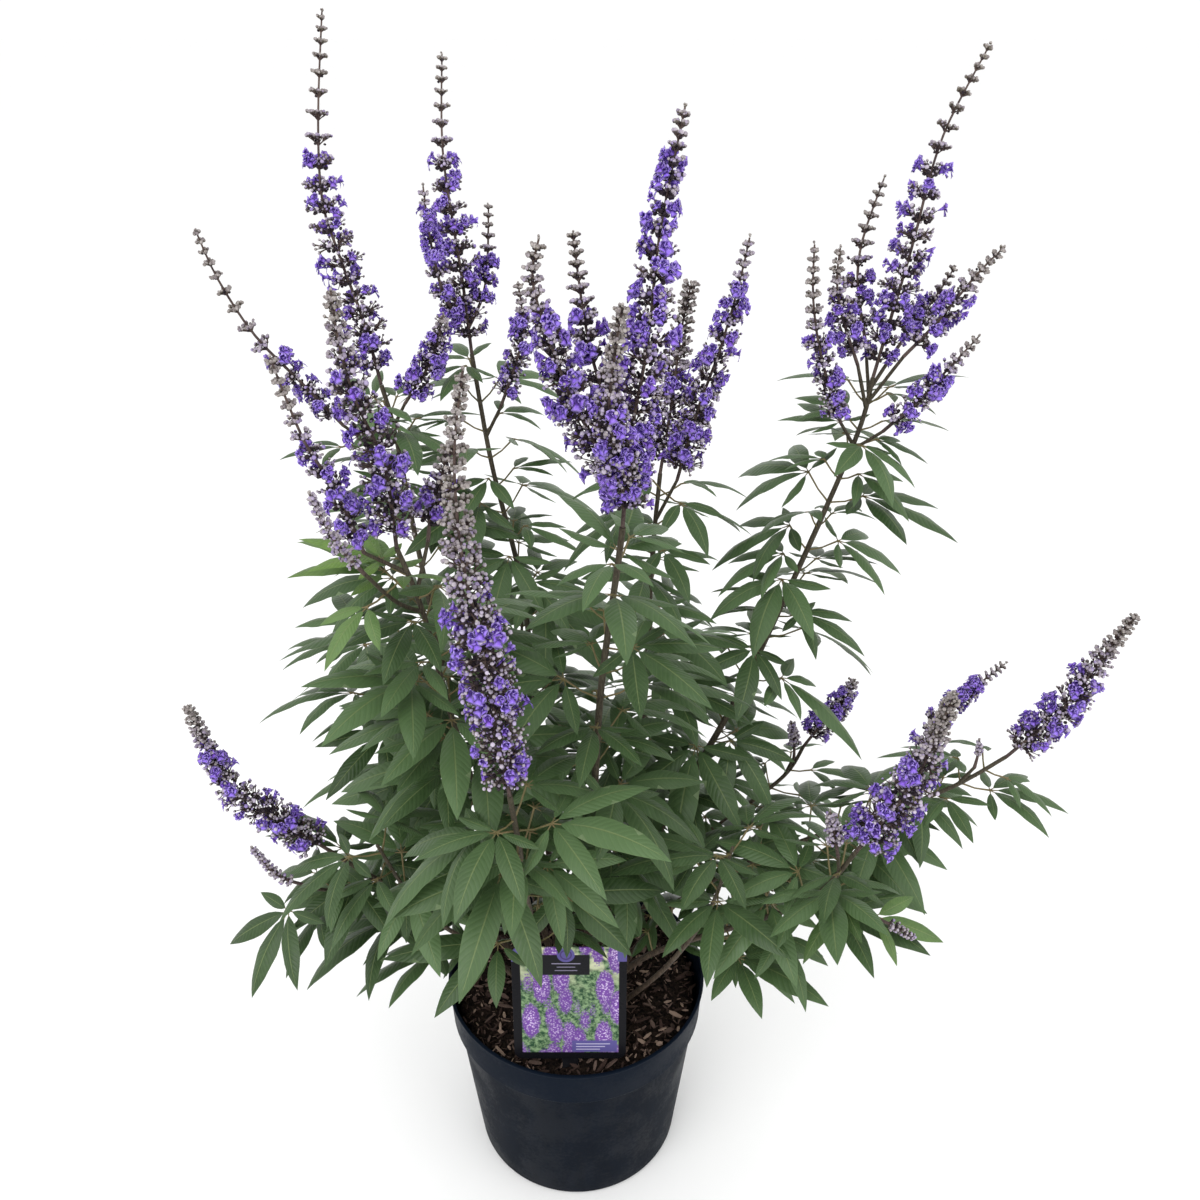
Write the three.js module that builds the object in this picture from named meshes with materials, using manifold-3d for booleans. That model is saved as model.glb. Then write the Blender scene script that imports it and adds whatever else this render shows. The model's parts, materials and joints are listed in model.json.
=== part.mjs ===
// Potted chaste tree: leafy shoots with palmate leaves and flower spikes, in a round nursery pot.
// Millimetres, +Z up, +X to the right of the front view, +Y away from it. The origin is the
// middle of the pot's underside, where it rests.
import * as THREE from 'three';
import { mergeVertices } from 'three/addons/utils/BufferGeometryUtils.js';
import Module from 'manifold-3d';

const wasm = await Module();
wasm.setup();

// Driving dimensions
const POT = { height: 227, rim: 140, lip: 136.5, shoulder: 132, foot: 113, band: 44, wall: 2.6, drain: 7, sides: 28 };
const SOIL = { top: 211, gap: 0.4, relief: 3.2, holeDepth: 42 };
const CARD = { width: 112, height: 138, thick: 1.4, corner: 9, middle: [-4, -105, 291], lean: 7 };
const LEAF = { rib: 1.7, hub: 3, web: 0.085, stalk: 0.36, stalkRadius: 1.3, clear: 1.1, lowest: 300 };
const COLOUR = { pot: 0x23272c, soil: 0x33241b, card: 0x7f7aa6, stake: 0x17181a, leaf: 0x4d6a45, flower: 0x6c52b8 };
const SPIKE = { axis: 1.7, axisTip: 0.9, step: 22.5, stepTip: 16.5 };

// Leafy stems. foot is where the stem stands in the soil, path the points it passes, radius
// at foot and top. leaves: [first, last, step] along the stem, turn the first pair's azimuth,
// size the middle leaflet's length low and high, stop how the top ends.
const SHOOTS = {
  front: { foot: [-4, -30], radius: [4, 2.4],
    path: [[-30, -72, 317], [-39, -124, 442], [-41, -160, 537], [-44, -190, 618]],
    leaves: [235, 390, 77], turn: 80, size: [124, 112] },
  low_right: { foot: [22, -32], radius: [4, 2.1],
    path: [[76, -66, 317], [173, -120, 419], [213, -150, 476], [238, -168, 543]],
    leaves: [200, 420, 73], turn: 30, size: [120, 88] },
  low_left: { foot: [-44, -6], radius: [3.6, 2],
    path: [[-79, -20, 290], [-143, -50, 375], [-188, -70, 422], [-225, -85, 471]],
    leaves: [240, 325, 85], turn: 40, size: [112, 84] },
  front_left: { foot: [-24, -12], radius: [4, 2.2],
    path: [[-72, -40, 418], [-102, -75, 608], [-116, -95, 727], [-130, -105, 790]],
    leaves: [330, 590, 86], turn: 70, size: [120, 98] },
  middle: { foot: [10, -8], radius: [4.6, 2.6],
    path: [[18, -50, 440], [26, -90, 640], [40, -110, 780], [43, -115, 812]],
    leaves: [260, 590, 110], turn: 10, size: [122, 100] },
  far_right: { foot: [38, -10], radius: [4, 1.9],
    path: [[109, -10, 336], [206, -20, 413], [297, -30, 466], [359, -40, 509], [400, -46, 548]],
    leaves: [290, 500, 105], turn: 0, size: [112, 76] },
  tall_left: { foot: [-26, 14], radius: [4.2, 2.3],
    path: [[-59, 30, 369], [-122, 70, 533], [-150, 100, 677], [-167, 120, 800], [-177, 127, 845]],
    leaves: [300, 600, 100], turn: 20, size: [118, 98] },
  tall_right: { foot: [32, 10], radius: [4.6, 2.3],
    path: [[78, 20, 378], [155, 50, 530], [202, 70, 642], [260, 95, 799], [272, 101, 860]],
    leaves: [330, 720, 97], turn: 60, size: [120, 84] },
  back_left: { foot: [-8, 30], radius: [4, 2.2],
    path: [[-30, 44, 360], [-41, 80, 526], [-53, 110, 647], [-79, 135, 763], [-94, 149, 868]],
    leaves: [340, 670, 110], turn: 55, size: [116, 86] },
  mid_right: { foot: [42, 28], radius: [3.6, 2],
    path: [[112, 44, 346], [176, 60, 398], [222, 70, 437], [240, 76, 470]],
    leaves: [210, 330, 110], turn: 75, size: [108, 84] },
  back_middle: { foot: [14, 24], radius: [4, 2.2],
    path: [[52, 34, 369], [71, 60, 539], [76, 84, 680], [82, 90, 772]],
    leaves: [320, 560, 120], turn: 40, size: [114, 96] },
  fill_front_left: { foot: [-32, -44], radius: [3.4, 1.6],
    path: [[-84, -70, 320], [-140, -100, 410], [-172, -112, 500]], leaves: [200, 310, 110], turn: 20, size: [114, 100] },
  fill_front_right: { foot: [48, -42], radius: [3.4, 1.6],
    path: [[92, -84, 320], [126, -112, 420], [142, -126, 510]], leaves: [210, 310, 100], turn: 60, size: [114, 98] },
  fill_side_left: { foot: [-50, 24], radius: [3.4, 1.6],
    path: [[-104, 44, 350], [-166, 50, 490], [-202, 44, 620]], leaves: [230, 410, 90], turn: 30, size: [114, 92] },
  fill_back: { foot: [-24, 46], radius: [3.6, 1.6],
    path: [[-50, 96, 330], [-62, 150, 450], [-60, 190, 560]], leaves: [190, 350, 160], turn: 0, size: [118, 94] },
  fill_back_right: { foot: [28, 48], radius: [3.6, 1.6],
    path: [[60, 110, 330], [90, 160, 430], [110, 190, 530]], leaves: [190, 340, 150], turn: 45, size: [118, 94] },
};

// Side twigs that belong to a leafy stem: from a point on it to where a flower spike starts.
const TWIGS = {
  tall_left: [[[-168, 121, 806], [-154, 112, 832]], [[-166, 119, 792], [-186, 104, 796], [-208, 92, 818]]],
  front_left: [[[-126, -102, 765], [-154, -110, 788]], [[-116, -95, 727], [-132, -118, 750], [-147, -148, 790]],
    [[-122, -98, 745], [-109, -86, 786]]],
  back_left: [[[-84, 139, 790], [-67, 128, 824]]],
  back_middle: [[[78, 86, 725], [96, 64, 776]]],
  tall_right: [[[260, 95, 799], [242, 76, 826]], [[267, 98, 834], [252, 80, 878]], [[269, 99, 842], [268, 126, 884]],
    [[271, 100, 850], [297, 126, 880]], [[268, 99, 838], [292, 84, 884]], [[258, 94, 793], [280, 76, 818]]],
  far_right: [[[318, -33, 481], [334, 0, 508]], [[362, -41, 512], [372, -47, 536]]],
  low_right: [[[228, -160, 512], [222, -172, 540]], [[217, -152, 484], [246, -204, 506]]],
  mid_right: [[[222, 70, 437], [228, 62, 466]]],
  low_left: [[[-188, -70, 422], [-224, -100, 436], [-240, -112, 452]]],
};

// Flower spikes. on: the leafy stem and its end (0 the top, then its twigs in order) that the
// spike grows from. Every axis has its girth, the radius of its lowest whorls, and tip, that
// of its highest; the first is the main axis and the others branch from it.
const SPIKES = {
  tall_left: { on: ['tall_left', 0], axes: [
    { girth: 19, tip: 4, path: [[-190, 140, 900], [-208, 152, 955], [-220, 160, 1003], [-218, 170, 1068], [-207, 180, 1150]] }] },
  tall_left_side: { on: ['tall_left', 1], axes: [
    { girth: 15, tip: 6, path: [[-131, 100, 866], [-118, 95, 892], [-110, 90, 919]] }] },
  far_left: { on: ['tall_left', 2], axes: [
    { girth: 11, tip: 3.5, path: [[-235, 70, 865], [-263, 50, 912], [-281, 35, 961], [-287, 20, 1001]] }] },
  front_left: { on: ['front_left', 0], axes: [
    { girth: 20, tip: 5, path: [[-131, -115, 862], [-143, -128, 912], [-148, -138, 953], [-147, -150, 995]] }] },
  front_left_side: { on: ['front_left', 1], axes: [
    { girth: 11, tip: 3.5, path: [[-165, -130, 849], [-177, -150, 893], [-186, -170, 957]] }] },
  front_left_young: { on: ['front_left', 2], axes: [
    { girth: 6, tip: 3, path: [[-158, -176, 830], [-164, -200, 875]] }] },
  front_left_inner: { on: ['front_left', 3], axes: [
    { girth: 14, tip: 5, path: [[-105, -80, 811], [-96, -75, 834], [-92, -70, 858]] }] },
  back_left: { on: ['back_left', 0], axes: [
    { girth: 18, tip: 4, path: [[-99, 155, 929], [-106, 165, 982], [-113, 178, 1045], [-110, 190, 1117]] },
    { girth: 10, tip: 4, path: [[-97, 152, 896], [-112, 126, 925], [-119, 110, 975], [-120, 95, 1024]] },
    { girth: 10, tip: 4, path: [[-96, 152, 892], [-82, 165, 920], [-78, 180, 950], [-76, 190, 993]] }] },
  back_left_side: { on: ['back_left', 1], axes: [
    { girth: 12, tip: 5, path: [[-51, 115, 868], [-42, 110, 901], [-45, 105, 942]] }] },
  front: { on: ['front', 0], axes: [
    { girth: 21, tip: 4, path: [[-51, -205, 710], [-57, -225, 792], [-62, -240, 856], [-60, -255, 924], [-50, -270, 979]] }] },
  middle: { on: ['middle', 0], axes: [
    { girth: 21, tip: 5, path: [[48, -108, 879], [60, -95, 947], [67, -80, 1017], [83, -60, 1096]] },
    { girth: 17, tip: 5, path: [[44, -114, 838], [14, -140, 905], [1, -150, 939], [-16, -160, 1000], [-12, -160, 1029]] },
    { girth: 15, tip: 5, path: [[46, -110, 868], [24, -80, 918], [14, -70, 962], [7, -60, 1014]] },
    { girth: 15, tip: 5, path: [[44, -116, 834], [36, -160, 891], [32, -185, 934], [39, -205, 998]] }] },
  back_middle: { on: ['back_middle', 0], axes: [
    { girth: 18, tip: 8, path: [[91, 90, 843], [97, 90, 906], [104, 90, 945]] }] },
  back_middle_side: { on: ['back_middle', 1], axes: [
    { girth: 17, tip: 5, path: [[110, 50, 845], [126, 40, 903], [137, 30, 957], [143, 25, 996]] }] },
  tall_right: { on: ['tall_right', 0], axes: [
    { girth: 18, tip: 4, path: [[297, 120, 972], [307, 130, 1028], [320, 140, 1070], [347, 150, 1126]] }] },
  tall_right_a: { on: ['tall_right', 1], axes: [
    { girth: 12, tip: 4, path: [[215, 55, 890], [201, 45, 943], [197, 40, 988]] }] },
  tall_right_b: { on: ['tall_right', 2], axes: [
    { girth: 12, tip: 4, path: [[230, 65, 926], [222, 60, 956], [221, 55, 982]] }] },
  tall_right_c: { on: ['tall_right', 3], axes: [
    { girth: 13, tip: 4, path: [[258, 140, 934], [259, 145, 972], [273, 150, 1023]] }] },
  tall_right_d: { on: ['tall_right', 4], axes: [
    { girth: 10, tip: 4, path: [[320, 140, 907], [336, 150, 927], [347, 155, 945]] }] },
  tall_right_e: { on: ['tall_right', 5], axes: [
    { girth: 13, tip: 4, path: [[313, 75, 915], [336, 60, 959], [351, 50, 983]] }] },
  tall_right_f: { on: ['tall_right', 6], axes: [
    { girth: 13, tip: 4, path: [[303, 55, 855], [318, 45, 882], [338, 35, 915]] }] },
  far_right: { on: ['far_right', 0], axes: [
    { girth: 18, tip: 5, path: [[438, -54, 608], [459, -57, 663], [476, -60, 704]] }] },
  far_right_side: { on: ['far_right', 1], axes: [
    { girth: 11, tip: 4, path: [[353, 20, 540], [375, 25, 564], [414, 30, 601]] }] },
  far_right_bud: { on: ['far_right', 2], axes: [
    { girth: 4, tip: 2.5, path: [[373, -47, 552], [372, -46, 566]] }] },
  low_right: { on: ['low_right', 0], axes: [
    { girth: 20, tip: 6, path: [[267, -190, 631], [274, -200, 681], [280, -205, 721]] }] },
  low_right_bud: { on: ['low_right', 1], axes: [
    { girth: 8, tip: 4, path: [[216, -173, 566], [211, -172, 587]] }] },
  low_right_low: { on: ['low_right', 2], axes: [
    { girth: 5, tip: 3, path: [[262, -211, 503], [279, -215, 494]] }] },
  mid_right: { on: ['mid_right', 0], axes: [
    { girth: 15, tip: 6, path: [[255, 78, 494], [275, 82, 520], [287, 85, 546]] }] },
  mid_right_bud: { on: ['mid_right', 1], axes: [
    { girth: 7, tip: 4, path: [[226, 60, 490], [221, 58, 513]] }] },
  low_left: { on: ['low_left', 0], axes: [
    { girth: 17, tip: 5, path: [[-249, -95, 504], [-275, -105, 538], [-296, -110, 573], [-311, -118, 650]] }] },
  low_left_bud: { on: ['low_left', 1], axes: [
    { girth: 5, tip: 3, path: [[-262, -120, 472], [-278, -125, 508]] }] },
};

// Vectors
const add = (a, b, k = 1) => [a[0] + b[0] * k, a[1] + b[1] * k, a[2] + b[2] * k];
const sub = (a, b) => [a[0] - b[0], a[1] - b[1], a[2] - b[2]];
const mul = (a, k) => [a[0] * k, a[1] * k, a[2] * k];
const dot = (a, b) => a[0] * b[0] + a[1] * b[1] + a[2] * b[2];
const cross = (a, b) => [a[1] * b[2] - a[2] * b[1], a[2] * b[0] - a[0] * b[2], a[0] * b[1] - a[1] * b[0]];
const size = (a) => Math.sqrt(dot(a, a));
const unit = (a) => mul(a, 1 / size(a));
const mix = (a, b, t) => add(mul(a, 1 - t), b, t);
const lerp = (a, b, t) => a + (b - a) * t;
const rad = (deg) => deg * Math.PI / 180;

// Seeded random numbers from 0 to 1
function draws(seed) {
  let state = Math.imul(seed, 2654435761) >>> 0;
  return () => {
    state = (Math.imul(state, 1664525) + 1013904223) >>> 0;
    return state / 4294967296;
  };
}

// Points along a smooth curve through the given ones, n to each span
function smooth(points, n) {
  const out = [];
  for (let i = 0; i < points.length - 1; i++) {
    const a = points[Math.max(i - 1, 0)];
    const b = points[i];
    const c = points[i + 1];
    const d = points[Math.min(i + 2, points.length - 1)];
    for (let j = 0; j < n; j++) {
      const t = j / n;
      out.push([0, 1, 2].map((k) => 0.5 * (2 * b[k] + (c[k] - a[k]) * t
        + (2 * a[k] - 5 * b[k] + 4 * c[k] - d[k]) * t * t
        + (3 * b[k] - a[k] - 3 * c[k] + d[k]) * t * t * t)));
    }
  }
  out.push(points[points.length - 1]);
  return out;
}

// A line that gives its point, direction and nearest length
function line(points) {
  const at = [0];
  for (let i = 1; i < points.length; i++) at.push(at[i - 1] + size(sub(points[i], points[i - 1])));
  const find = (s) => {
    let i = 1;
    while (i < points.length - 1 && at[i] < s) i++;
    return i;
  };
  const point = (s) => {
    const i = find(s);
    return mix(points[i - 1], points[i], (s - at[i - 1]) / (at[i] - at[i - 1]));
  };
  const along = (s) => {
    const i = find(s);
    return unit(sub(points[i], points[i - 1]));
  };
  const long = at[at.length - 1];
  const nearest = (p) => {
    let best = 0;
    for (let s = 0; s < long; s += 2) if (size(sub(point(s), p)) < size(sub(point(best), p))) best = s;
    return best;
  };
  return { points, at, long, point, along, nearest };
}

// Two directions square to t
function square(t) {
  const a = unit(cross(t, [0.2, 1, 0.05]));
  return [a, cross(t, a)];
}

// Ring of n points round c
function ring(c, t, r, n, turn = 0) {
  const [a, b] = square(t);
  const out = [];
  for (let i = 0; i < n; i++) {
    const w = turn + i * 2 * Math.PI / n;
    out.push(add(add(c, a, r * Math.cos(w)), b, r * Math.sin(w)));
  }
  return out;
}

// Sides between two rings of n points that start at p and q
function sides(faces, p, q, n) {
  for (let i = 0; i < n; i++) {
    const j = (i + 1) % n;
    faces.push([p + i, p + j, q + j], [p + i, q + j, q + i]);
  }
}

// What the leaves keep clear of: straight pieces and flat triangles, with a thickness
const kept = [];

function keep(edges, flats, radius) {
  const all = edges.flat();
  const middle = mul(all.reduce((a, b) => add(a, b), [0, 0, 0]), 1 / all.length);
  const reach = Math.max(...all.map((p) => size(sub(p, middle))));
  const thing = { edges, flats, radius, middle, reach };
  kept.push(thing);
  return thing;
}

// Shortest way between two straight pieces
function apart([a, b], [c, d]) {
  const u = sub(b, a);
  const v = sub(d, c);
  const w = sub(a, c);
  const uu = dot(u, u);
  const uv = dot(u, v);
  const vv = dot(v, v);
  const uw = dot(u, w);
  const vw = dot(v, w);
  const den = uu * vv - uv * uv;
  let s = den > 1e-9 ? (uv * vw - vv * uw) / den : 0;
  s = Math.min(Math.max(s, 0), 1);
  let t = (uv * s + vw) / vv;
  if (t < 0 || t > 1) {
    t = Math.min(Math.max(t, 0), 1);
    s = Math.min(Math.max((uv * t - uw) / uu, 0), 1);
  }
  return size(sub(add(a, u, s), add(c, v, t)));
}

// Whether a straight piece goes through a triangle
function pierces([p, q], [a, b, c]) {
  const way = sub(q, p);
  const e = sub(b, a);
  const f = sub(c, a);
  const h = cross(way, f);
  const det = dot(e, h);
  if (Math.abs(det) < 1e-9) return false;
  const s = sub(p, a);
  const u = dot(s, h) / det;
  if (u < 0 || u > 1) return false;
  const g = cross(s, e);
  const v = dot(way, g) / det;
  if (v < 0 || u + v > 1) return false;
  const t = dot(f, g) / det;
  return t >= 0 && t <= 1;
}

// Whether straight pieces and triangles come too near to anything kept so far
function meets(edges, flats, skip) {
  const all = edges.flat();
  const middle = mul(all.reduce((a, b) => add(a, b), [0, 0, 0]), 1 / all.length);
  const reach = Math.max(...all.map((p) => size(sub(p, middle))));
  for (const thing of kept) {
    if (thing === skip) continue;
    const room = thing.radius + LEAF.clear;
    if (size(sub(thing.middle, middle)) > thing.reach + reach + room) continue;
    for (const e of edges) {
      for (const g of thing.edges) if (apart(e, g) < room) return true;
      for (const g of thing.flats) if (pierces(e, g)) return true;
    }
    for (const g of thing.edges) for (const f of flats) if (pierces(g, f)) return true;
  }
  return false;
}

// Whether a point is in the pot's wall, the soil or the label's place
function blocked([x, y, z]) {
  const r = Math.hypot(x, y);
  if (z < LEAF.lowest + 0.4 * Math.max(0, -y - 100) || (z < POT.height + 6 && r < POT.rim + 6)) return true;
  return Math.abs(x - CARD.middle[0]) < CARD.width / 2 + 6 && Math.abs(y - CARD.middle[1]) < 18
    && z < CARD.middle[2] + CARD.height / 2 + 6;
}

// Leaflets by number: [angle from the middle one, part of its length]
const FANS = {
  3: [[-50, 0.7], [0, 1], [50, 0.7]],
  5: [[-92, 0.5], [-43, 0.84], [0, 1], [43, 0.84], [92, 0.5]],
};

// A palmate leaf's points, from its hub, forward and upward directions
function leafPoints({ hub, ahead, up, long, count, droop }) {
  const side = cross(ahead, up);
  const fan = FANS[count];
  const way = (deg) => add(mul(ahead, Math.cos(rad(deg))), side, Math.sin(rad(deg)));
  const web = fan.slice(1).map(([deg], i) => add(hub, way((fan[i][0] + deg) / 2), LEAF.web * long));
  const end = fan[fan.length - 1][0] + 34;
  return {
    top: add(hub, up, LEAF.hub / 2),
    low: add(hub, up, -LEAF.hub / 2),
    web: [add(hub, way(-end), LEAF.hub), ...web, add(hub, way(end), LEAF.hub)],
    leaflets: fan.map(([deg, part]) => {
      const l = part * long;
      const d = way(deg);
      const w = cross(d, up);
      const high = part > 0.6 ? 0.07 : 0.01 - droop / 2;
      const edge = add(add(hub, d, 0.46 * l), up, (high - 0.035) * l);
      return {
        full: part > 0.6,
        rib: add(add(hub, d, 0.5 * l), up, high * l),
        tip: add(add(hub, d, 0.96 * l), up, -droop * l),
        left: add(edge, w, -0.135 * l),
        right: add(edge, w, 0.135 * l),
      };
    }),
  };
}

// Its straight pieces and flats, for the test of what it comes near to
function leafLines(hub, parts) {
  const edges = [];
  const flats = [];
  for (const { rib, tip, left, right } of parts.leaflets) {
    edges.push([hub, left], [left, tip], [tip, right], [right, hub], [hub, rib], [rib, tip]);
    flats.push([hub, left, rib], [hub, rib, right], [left, tip, rib], [rib, tip, right]);
  }
  return { edges, flats };
}

// Closed leaf with its stalk, which starts inside the stem
function leafBody(leaf, parts) {
  const points = [parts.top, parts.low, ...parts.web];
  const faces = [];
  parts.leaflets.forEach(({ full, rib, tip, left, right }, i) => {
    const v = 2 + i;
    const l = points.length;
    points.push(left, tip, right);
    if (full) points.push(add(rib, leaf.up, LEAF.rib / 2), add(rib, leaf.up, -LEAF.rib / 2));
    const [t, r, m, n] = [l + 1, l + 2, l + 3, l + 4];
    faces.push([0, l, v], [0, v + 1, r], [1, v, l], [1, r, v + 1]);
    if (full) {
      faces.push([0, m, l], [l, m, t], [m, r, t], [0, r, m]);
      faces.push([1, l, n], [l, t, n], [n, t, r], [1, n, r]);
    } else {
      faces.push([0, t, l], [0, r, t], [1, l, t], [1, t, r]);
    }
  });
  const forth = unit(sub(leaf.hub, leaf.root));
  const across = unit(cross(forth, leaf.up));
  const over = cross(across, forth);
  const r = LEAF.stalkRadius;
  const s = points.length;
  const under = add(leaf.root, over, -0.6 * r);
  points.push(add(leaf.root, over, r), add(under, across, -r), add(under, across, r));
  const e = 1 + parts.web.length;
  faces.push([0, 2, s + 1], [0, s + 1, s], [2, 1, s + 1], [1, s + 2, s + 1], [1, e, s + 2], [e, 0, s], [e, s, s + 2],
    [s, s + 1, s + 2]);
  return [points, faces];
}

// A shoot's curve: straight up out of the soil, then through its points
function shootLine({ foot: [x, y], path }) {
  return line([[x, y, SOIL.top - SOIL.holeDepth + 0.5], ...smooth([[x, y, SOIL.top + 8], ...path], 2)]);
}

// One leaf on a stem at length s, with its place chosen among several so that it hangs free
function placeLeaf({ curve, stem, s, azimuth, long, low, seed }) {
  const draw = draws(seed);
  const t = curve.along(s);
  const root = curve.point(s);
  const [a, b] = square(t);
  for (let n = 0; n < 30; n++) {
    const turn = rad(azimuth + (n % 2 ? 1 : -1) * 12 * Math.ceil((n % 15) / 2) + 8 * (draw() - 0.5));
    const l = long * (n < 15 ? 1 : 0.8) * lerp(0.94, 1.06, draw());
    const dip = rad(lerp(-8, 30, draw()) + 16 * low);
    const roll = rad(lerp(-24, 24, draw()));
    const droop = lerp(0.04, 0.16, draw());
    const out = add(mul(a, Math.cos(turn)), b, Math.sin(turn));
    const stalk = unit(add(add(mul(out, 0.85), t, 0.45), [0, 0, 1], 0.15));
    const hub = add(root, stalk, LEAF.stalk * l);
    const flat = unit([out[0] + 0.5 * t[0], out[1] + 0.5 * t[1], 0]);
    const ahead = add(mul(flat, Math.cos(dip)), [0, 0, 1], -Math.sin(dip));
    const level = add(mul(flat, Math.sin(dip)), [0, 0, 1], Math.cos(dip));
    const up = add(mul(level, Math.cos(roll)), cross(ahead, level), Math.sin(roll));
    const leaf = { root, hub, ahead, up, long: l, count: l < 72 ? 3 : 5, droop };
    const parts = leafPoints(leaf);
    const { edges, flats } = leafLines(hub, parts);
    if (edges.some(([p, q]) => blocked(q) || blocked(mix(p, q, 0.5)))) continue;
    const start = add(root, stalk, 8);
    if (meets(edges, flats, null) || meets([[start, hub]], [], stem)) continue;
    keep([...edges, [start, hub]], flats, LEAF.rib / 2);
    return { leaf, parts };
  }
  return null;
}

// Stitch between an inner ring and an outer one, each given as [first point, angles]
function stitch(faces, [p, inner], [q, outer], upward) {
  const whole = 2 * Math.PI;
  const n = inner.length;
  const m = outer.length;
  let i = 0;
  let j = 0;
  while (i < n || j < m) {
    const nextIn = inner[(i + 1) % n] + (i + 1 >= n ? whole : 0);
    const nextOut = outer[(j + 1) % m] + (j + 1 >= m ? whole : 0);
    const goOut = j < m && (i >= n || nextOut <= nextIn);
    const f = goOut ? [p + i % n, q + j % m, q + (j + 1) % m] : [p + i % n, q + j % m, p + (i + 1) % n];
    faces.push(upward ? f : [f[0], f[2], f[1]]);
    if (goOut) j++;
    else i++;
  }
}

// Radius of a spike's whorl at a part u of its length: full low down, slim at its tip
function whorl({ girth, tip }, u) {
  return lerp(tip, girth, Math.min(1, Math.max(0, (1 - u) / 0.66)) ** 0.9) * (u < 0.06 ? 0.8 : 1);
}

// Closed spike: a slim axis with a lobed whorl of flowers or buds at each joint
function spikeBody(axis, curve, first, foot, seed) {
  const draw = draws(seed);
  const three = [0, 2 * Math.PI / 3, 4 * Math.PI / 3];
  const points = ring(curve.point(0), foot, SPIKE.axis, 3);
  const faces = [[0, 2, 1]];
  let before = 0;
  let turn = 0;
  for (let s = first; s < curve.long - 3;) {
    const u = s / curve.long;
    const gap = lerp(SPIKE.step, SPIKE.stepTip, u);
    const r = whorl(axis, u);
    const half = gap * (r > 9 ? 0.5 : 0.3);
    const slim = lerp(SPIKE.axis, SPIKE.axisTip, u);
    const lobes = r > 9 ? 3 : 2;
    const t = curve.along(s);
    const c = curve.point(s);
    const [a, b] = square(t);
    let low = before;
    if (r <= 9 || s === first) {
      low = points.length;
      points.push(...ring(curve.point(s - half), t, slim, 3));
      sides(faces, before, low, 3);
    }
    const outline = [];
    for (let i = 0; i < 2 * lobes; i++) {
      const w = (turn + (i + 0.3 * (draw() - 0.5)) * Math.PI / lobes) % (2 * Math.PI);
      outline.push([w, r * (i % 2 ? lerp(0.55, 0.75, draw()) : lerp(0.85, 1.1, draw())), half * lerp(-0.35, 0.35, draw())]);
    }
    outline.forEach((o) => { if (o[0] < 0) o[0] += 2 * Math.PI; });
    outline.sort((p, q) => p[0] - q[0]);
    const out = points.length;
    outline.forEach(([w, k, z]) => points.push(add(add(add(c, a, k * Math.cos(w)), b, k * Math.sin(w)), t, z)));
    const high = points.length;
    points.push(...ring(curve.point(Math.min(s + half, curve.long - 1)), t, slim, 3));
    const angles = outline.map(([w]) => w);
    stitch(faces, [low, three], [out, angles], false);
    stitch(faces, [high, three], [out, angles], true);
    before = high;
    turn += Math.PI / 2;
    s += gap;
  }
  const end = points.length;
  points.push(curve.point(curve.long));
  for (let i = 0; i < 3; i++) faces.push([before + i, before + (i + 1) % 3, end]);
  return [points, faces];
}

// Tube through stations [point, direction, radius]
function tube(stations, n) {
  const points = [];
  const faces = [];
  stations.forEach(([c, t, r], k) => {
    points.push(...ring(c, t, r, n));
    if (k) sides(faces, (k - 1) * n, k * n, n);
  });
  const last = (stations.length - 1) * n;
  for (let i = 1; i < n - 1; i++) faces.push([0, i + 1, i], [last, last + i, last + i + 1]);
  return [points, faces];
}

// Stations along a curve, the first two and the last ones square to given directions
function stations(curve, [thick, thin], upright) {
  return curve.points.map((p, i) => {
    const last = i === curve.points.length - 1;
    const ways = last ? curve.along(curve.long) : unit(add(curve.along(curve.at[i] + 0.01), curve.along(curve.at[i])));
    return [p, upright && i < 2 ? [0, 0, 1] : ways, lerp(thick, thin, curve.at[i] / curve.long)];
  });
}

// Geometry from lists of points and triangles
function shape([points, faces]) {
  const geometry = new THREE.BufferGeometry();
  geometry.setAttribute('position', new THREE.Float32BufferAttribute(points.flat(), 3));
  geometry.setIndex(faces.flat());
  return geometry;
}

// Geometry as a solid: shared points merged, flat triangles dropped, faces turned outward
function solid(source) {
  const bare = source.clone();
  bare.deleteAttribute('normal');
  bare.deleteAttribute('uv');
  const geometry = mergeVertices(bare, 1e-3);
  const vertProperties = new Float32Array(geometry.attributes.position.array);
  const index = geometry.index.array;
  const corner = (i) => [0, 1, 2].map((k) => vertProperties[3 * i + k]);
  const faces = [];
  let volume = 0;
  for (let i = 0; i < index.length; i += 3) {
    const [a, b, c] = index.slice(i, i + 3);
    if (a === b || b === c || c === a) continue;
    faces.push([a, b, c]);
    volume += dot(corner(a), cross(corner(b), corner(c)));
  }
  const triVerts = new Uint32Array(faces.map(([a, b, c]) => (volume < 0 ? [a, c, b] : [a, b, c])).flat());
  return new wasm.Manifold(new wasm.Mesh({ numProp: 3, vertProperties, triVerts }));
}

const fuse = (shapes) => wasm.Manifold.union(shapes.map(solid));

// Named mesh of a solid's largest body
function piece(name, whole, color, roughness) {
  const main = whole.decompose().sort((p, q) => q.volume() - p.volume())[0].getMesh();
  const geometry = new THREE.BufferGeometry();
  geometry.setAttribute('position', new THREE.BufferAttribute(new Float32Array(main.vertProperties), 3));
  geometry.setIndex(new THREE.BufferAttribute(new Uint32Array(main.triVerts), 1));
  geometry.computeVertexNormals();
  const mesh = new THREE.Mesh(geometry, new THREE.MeshStandardMaterial({ color, roughness, metalness: 0 }));
  mesh.name = name;
  return mesh;
}

// Turned body about +Z from [radius, height] points that start and end on the axis
function turned(outline, n) {
  return new THREE.LatheGeometry(outline.map(([r, z]) => new THREE.Vector2(r, z)), n).rotateX(Math.PI / 2);
}

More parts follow.
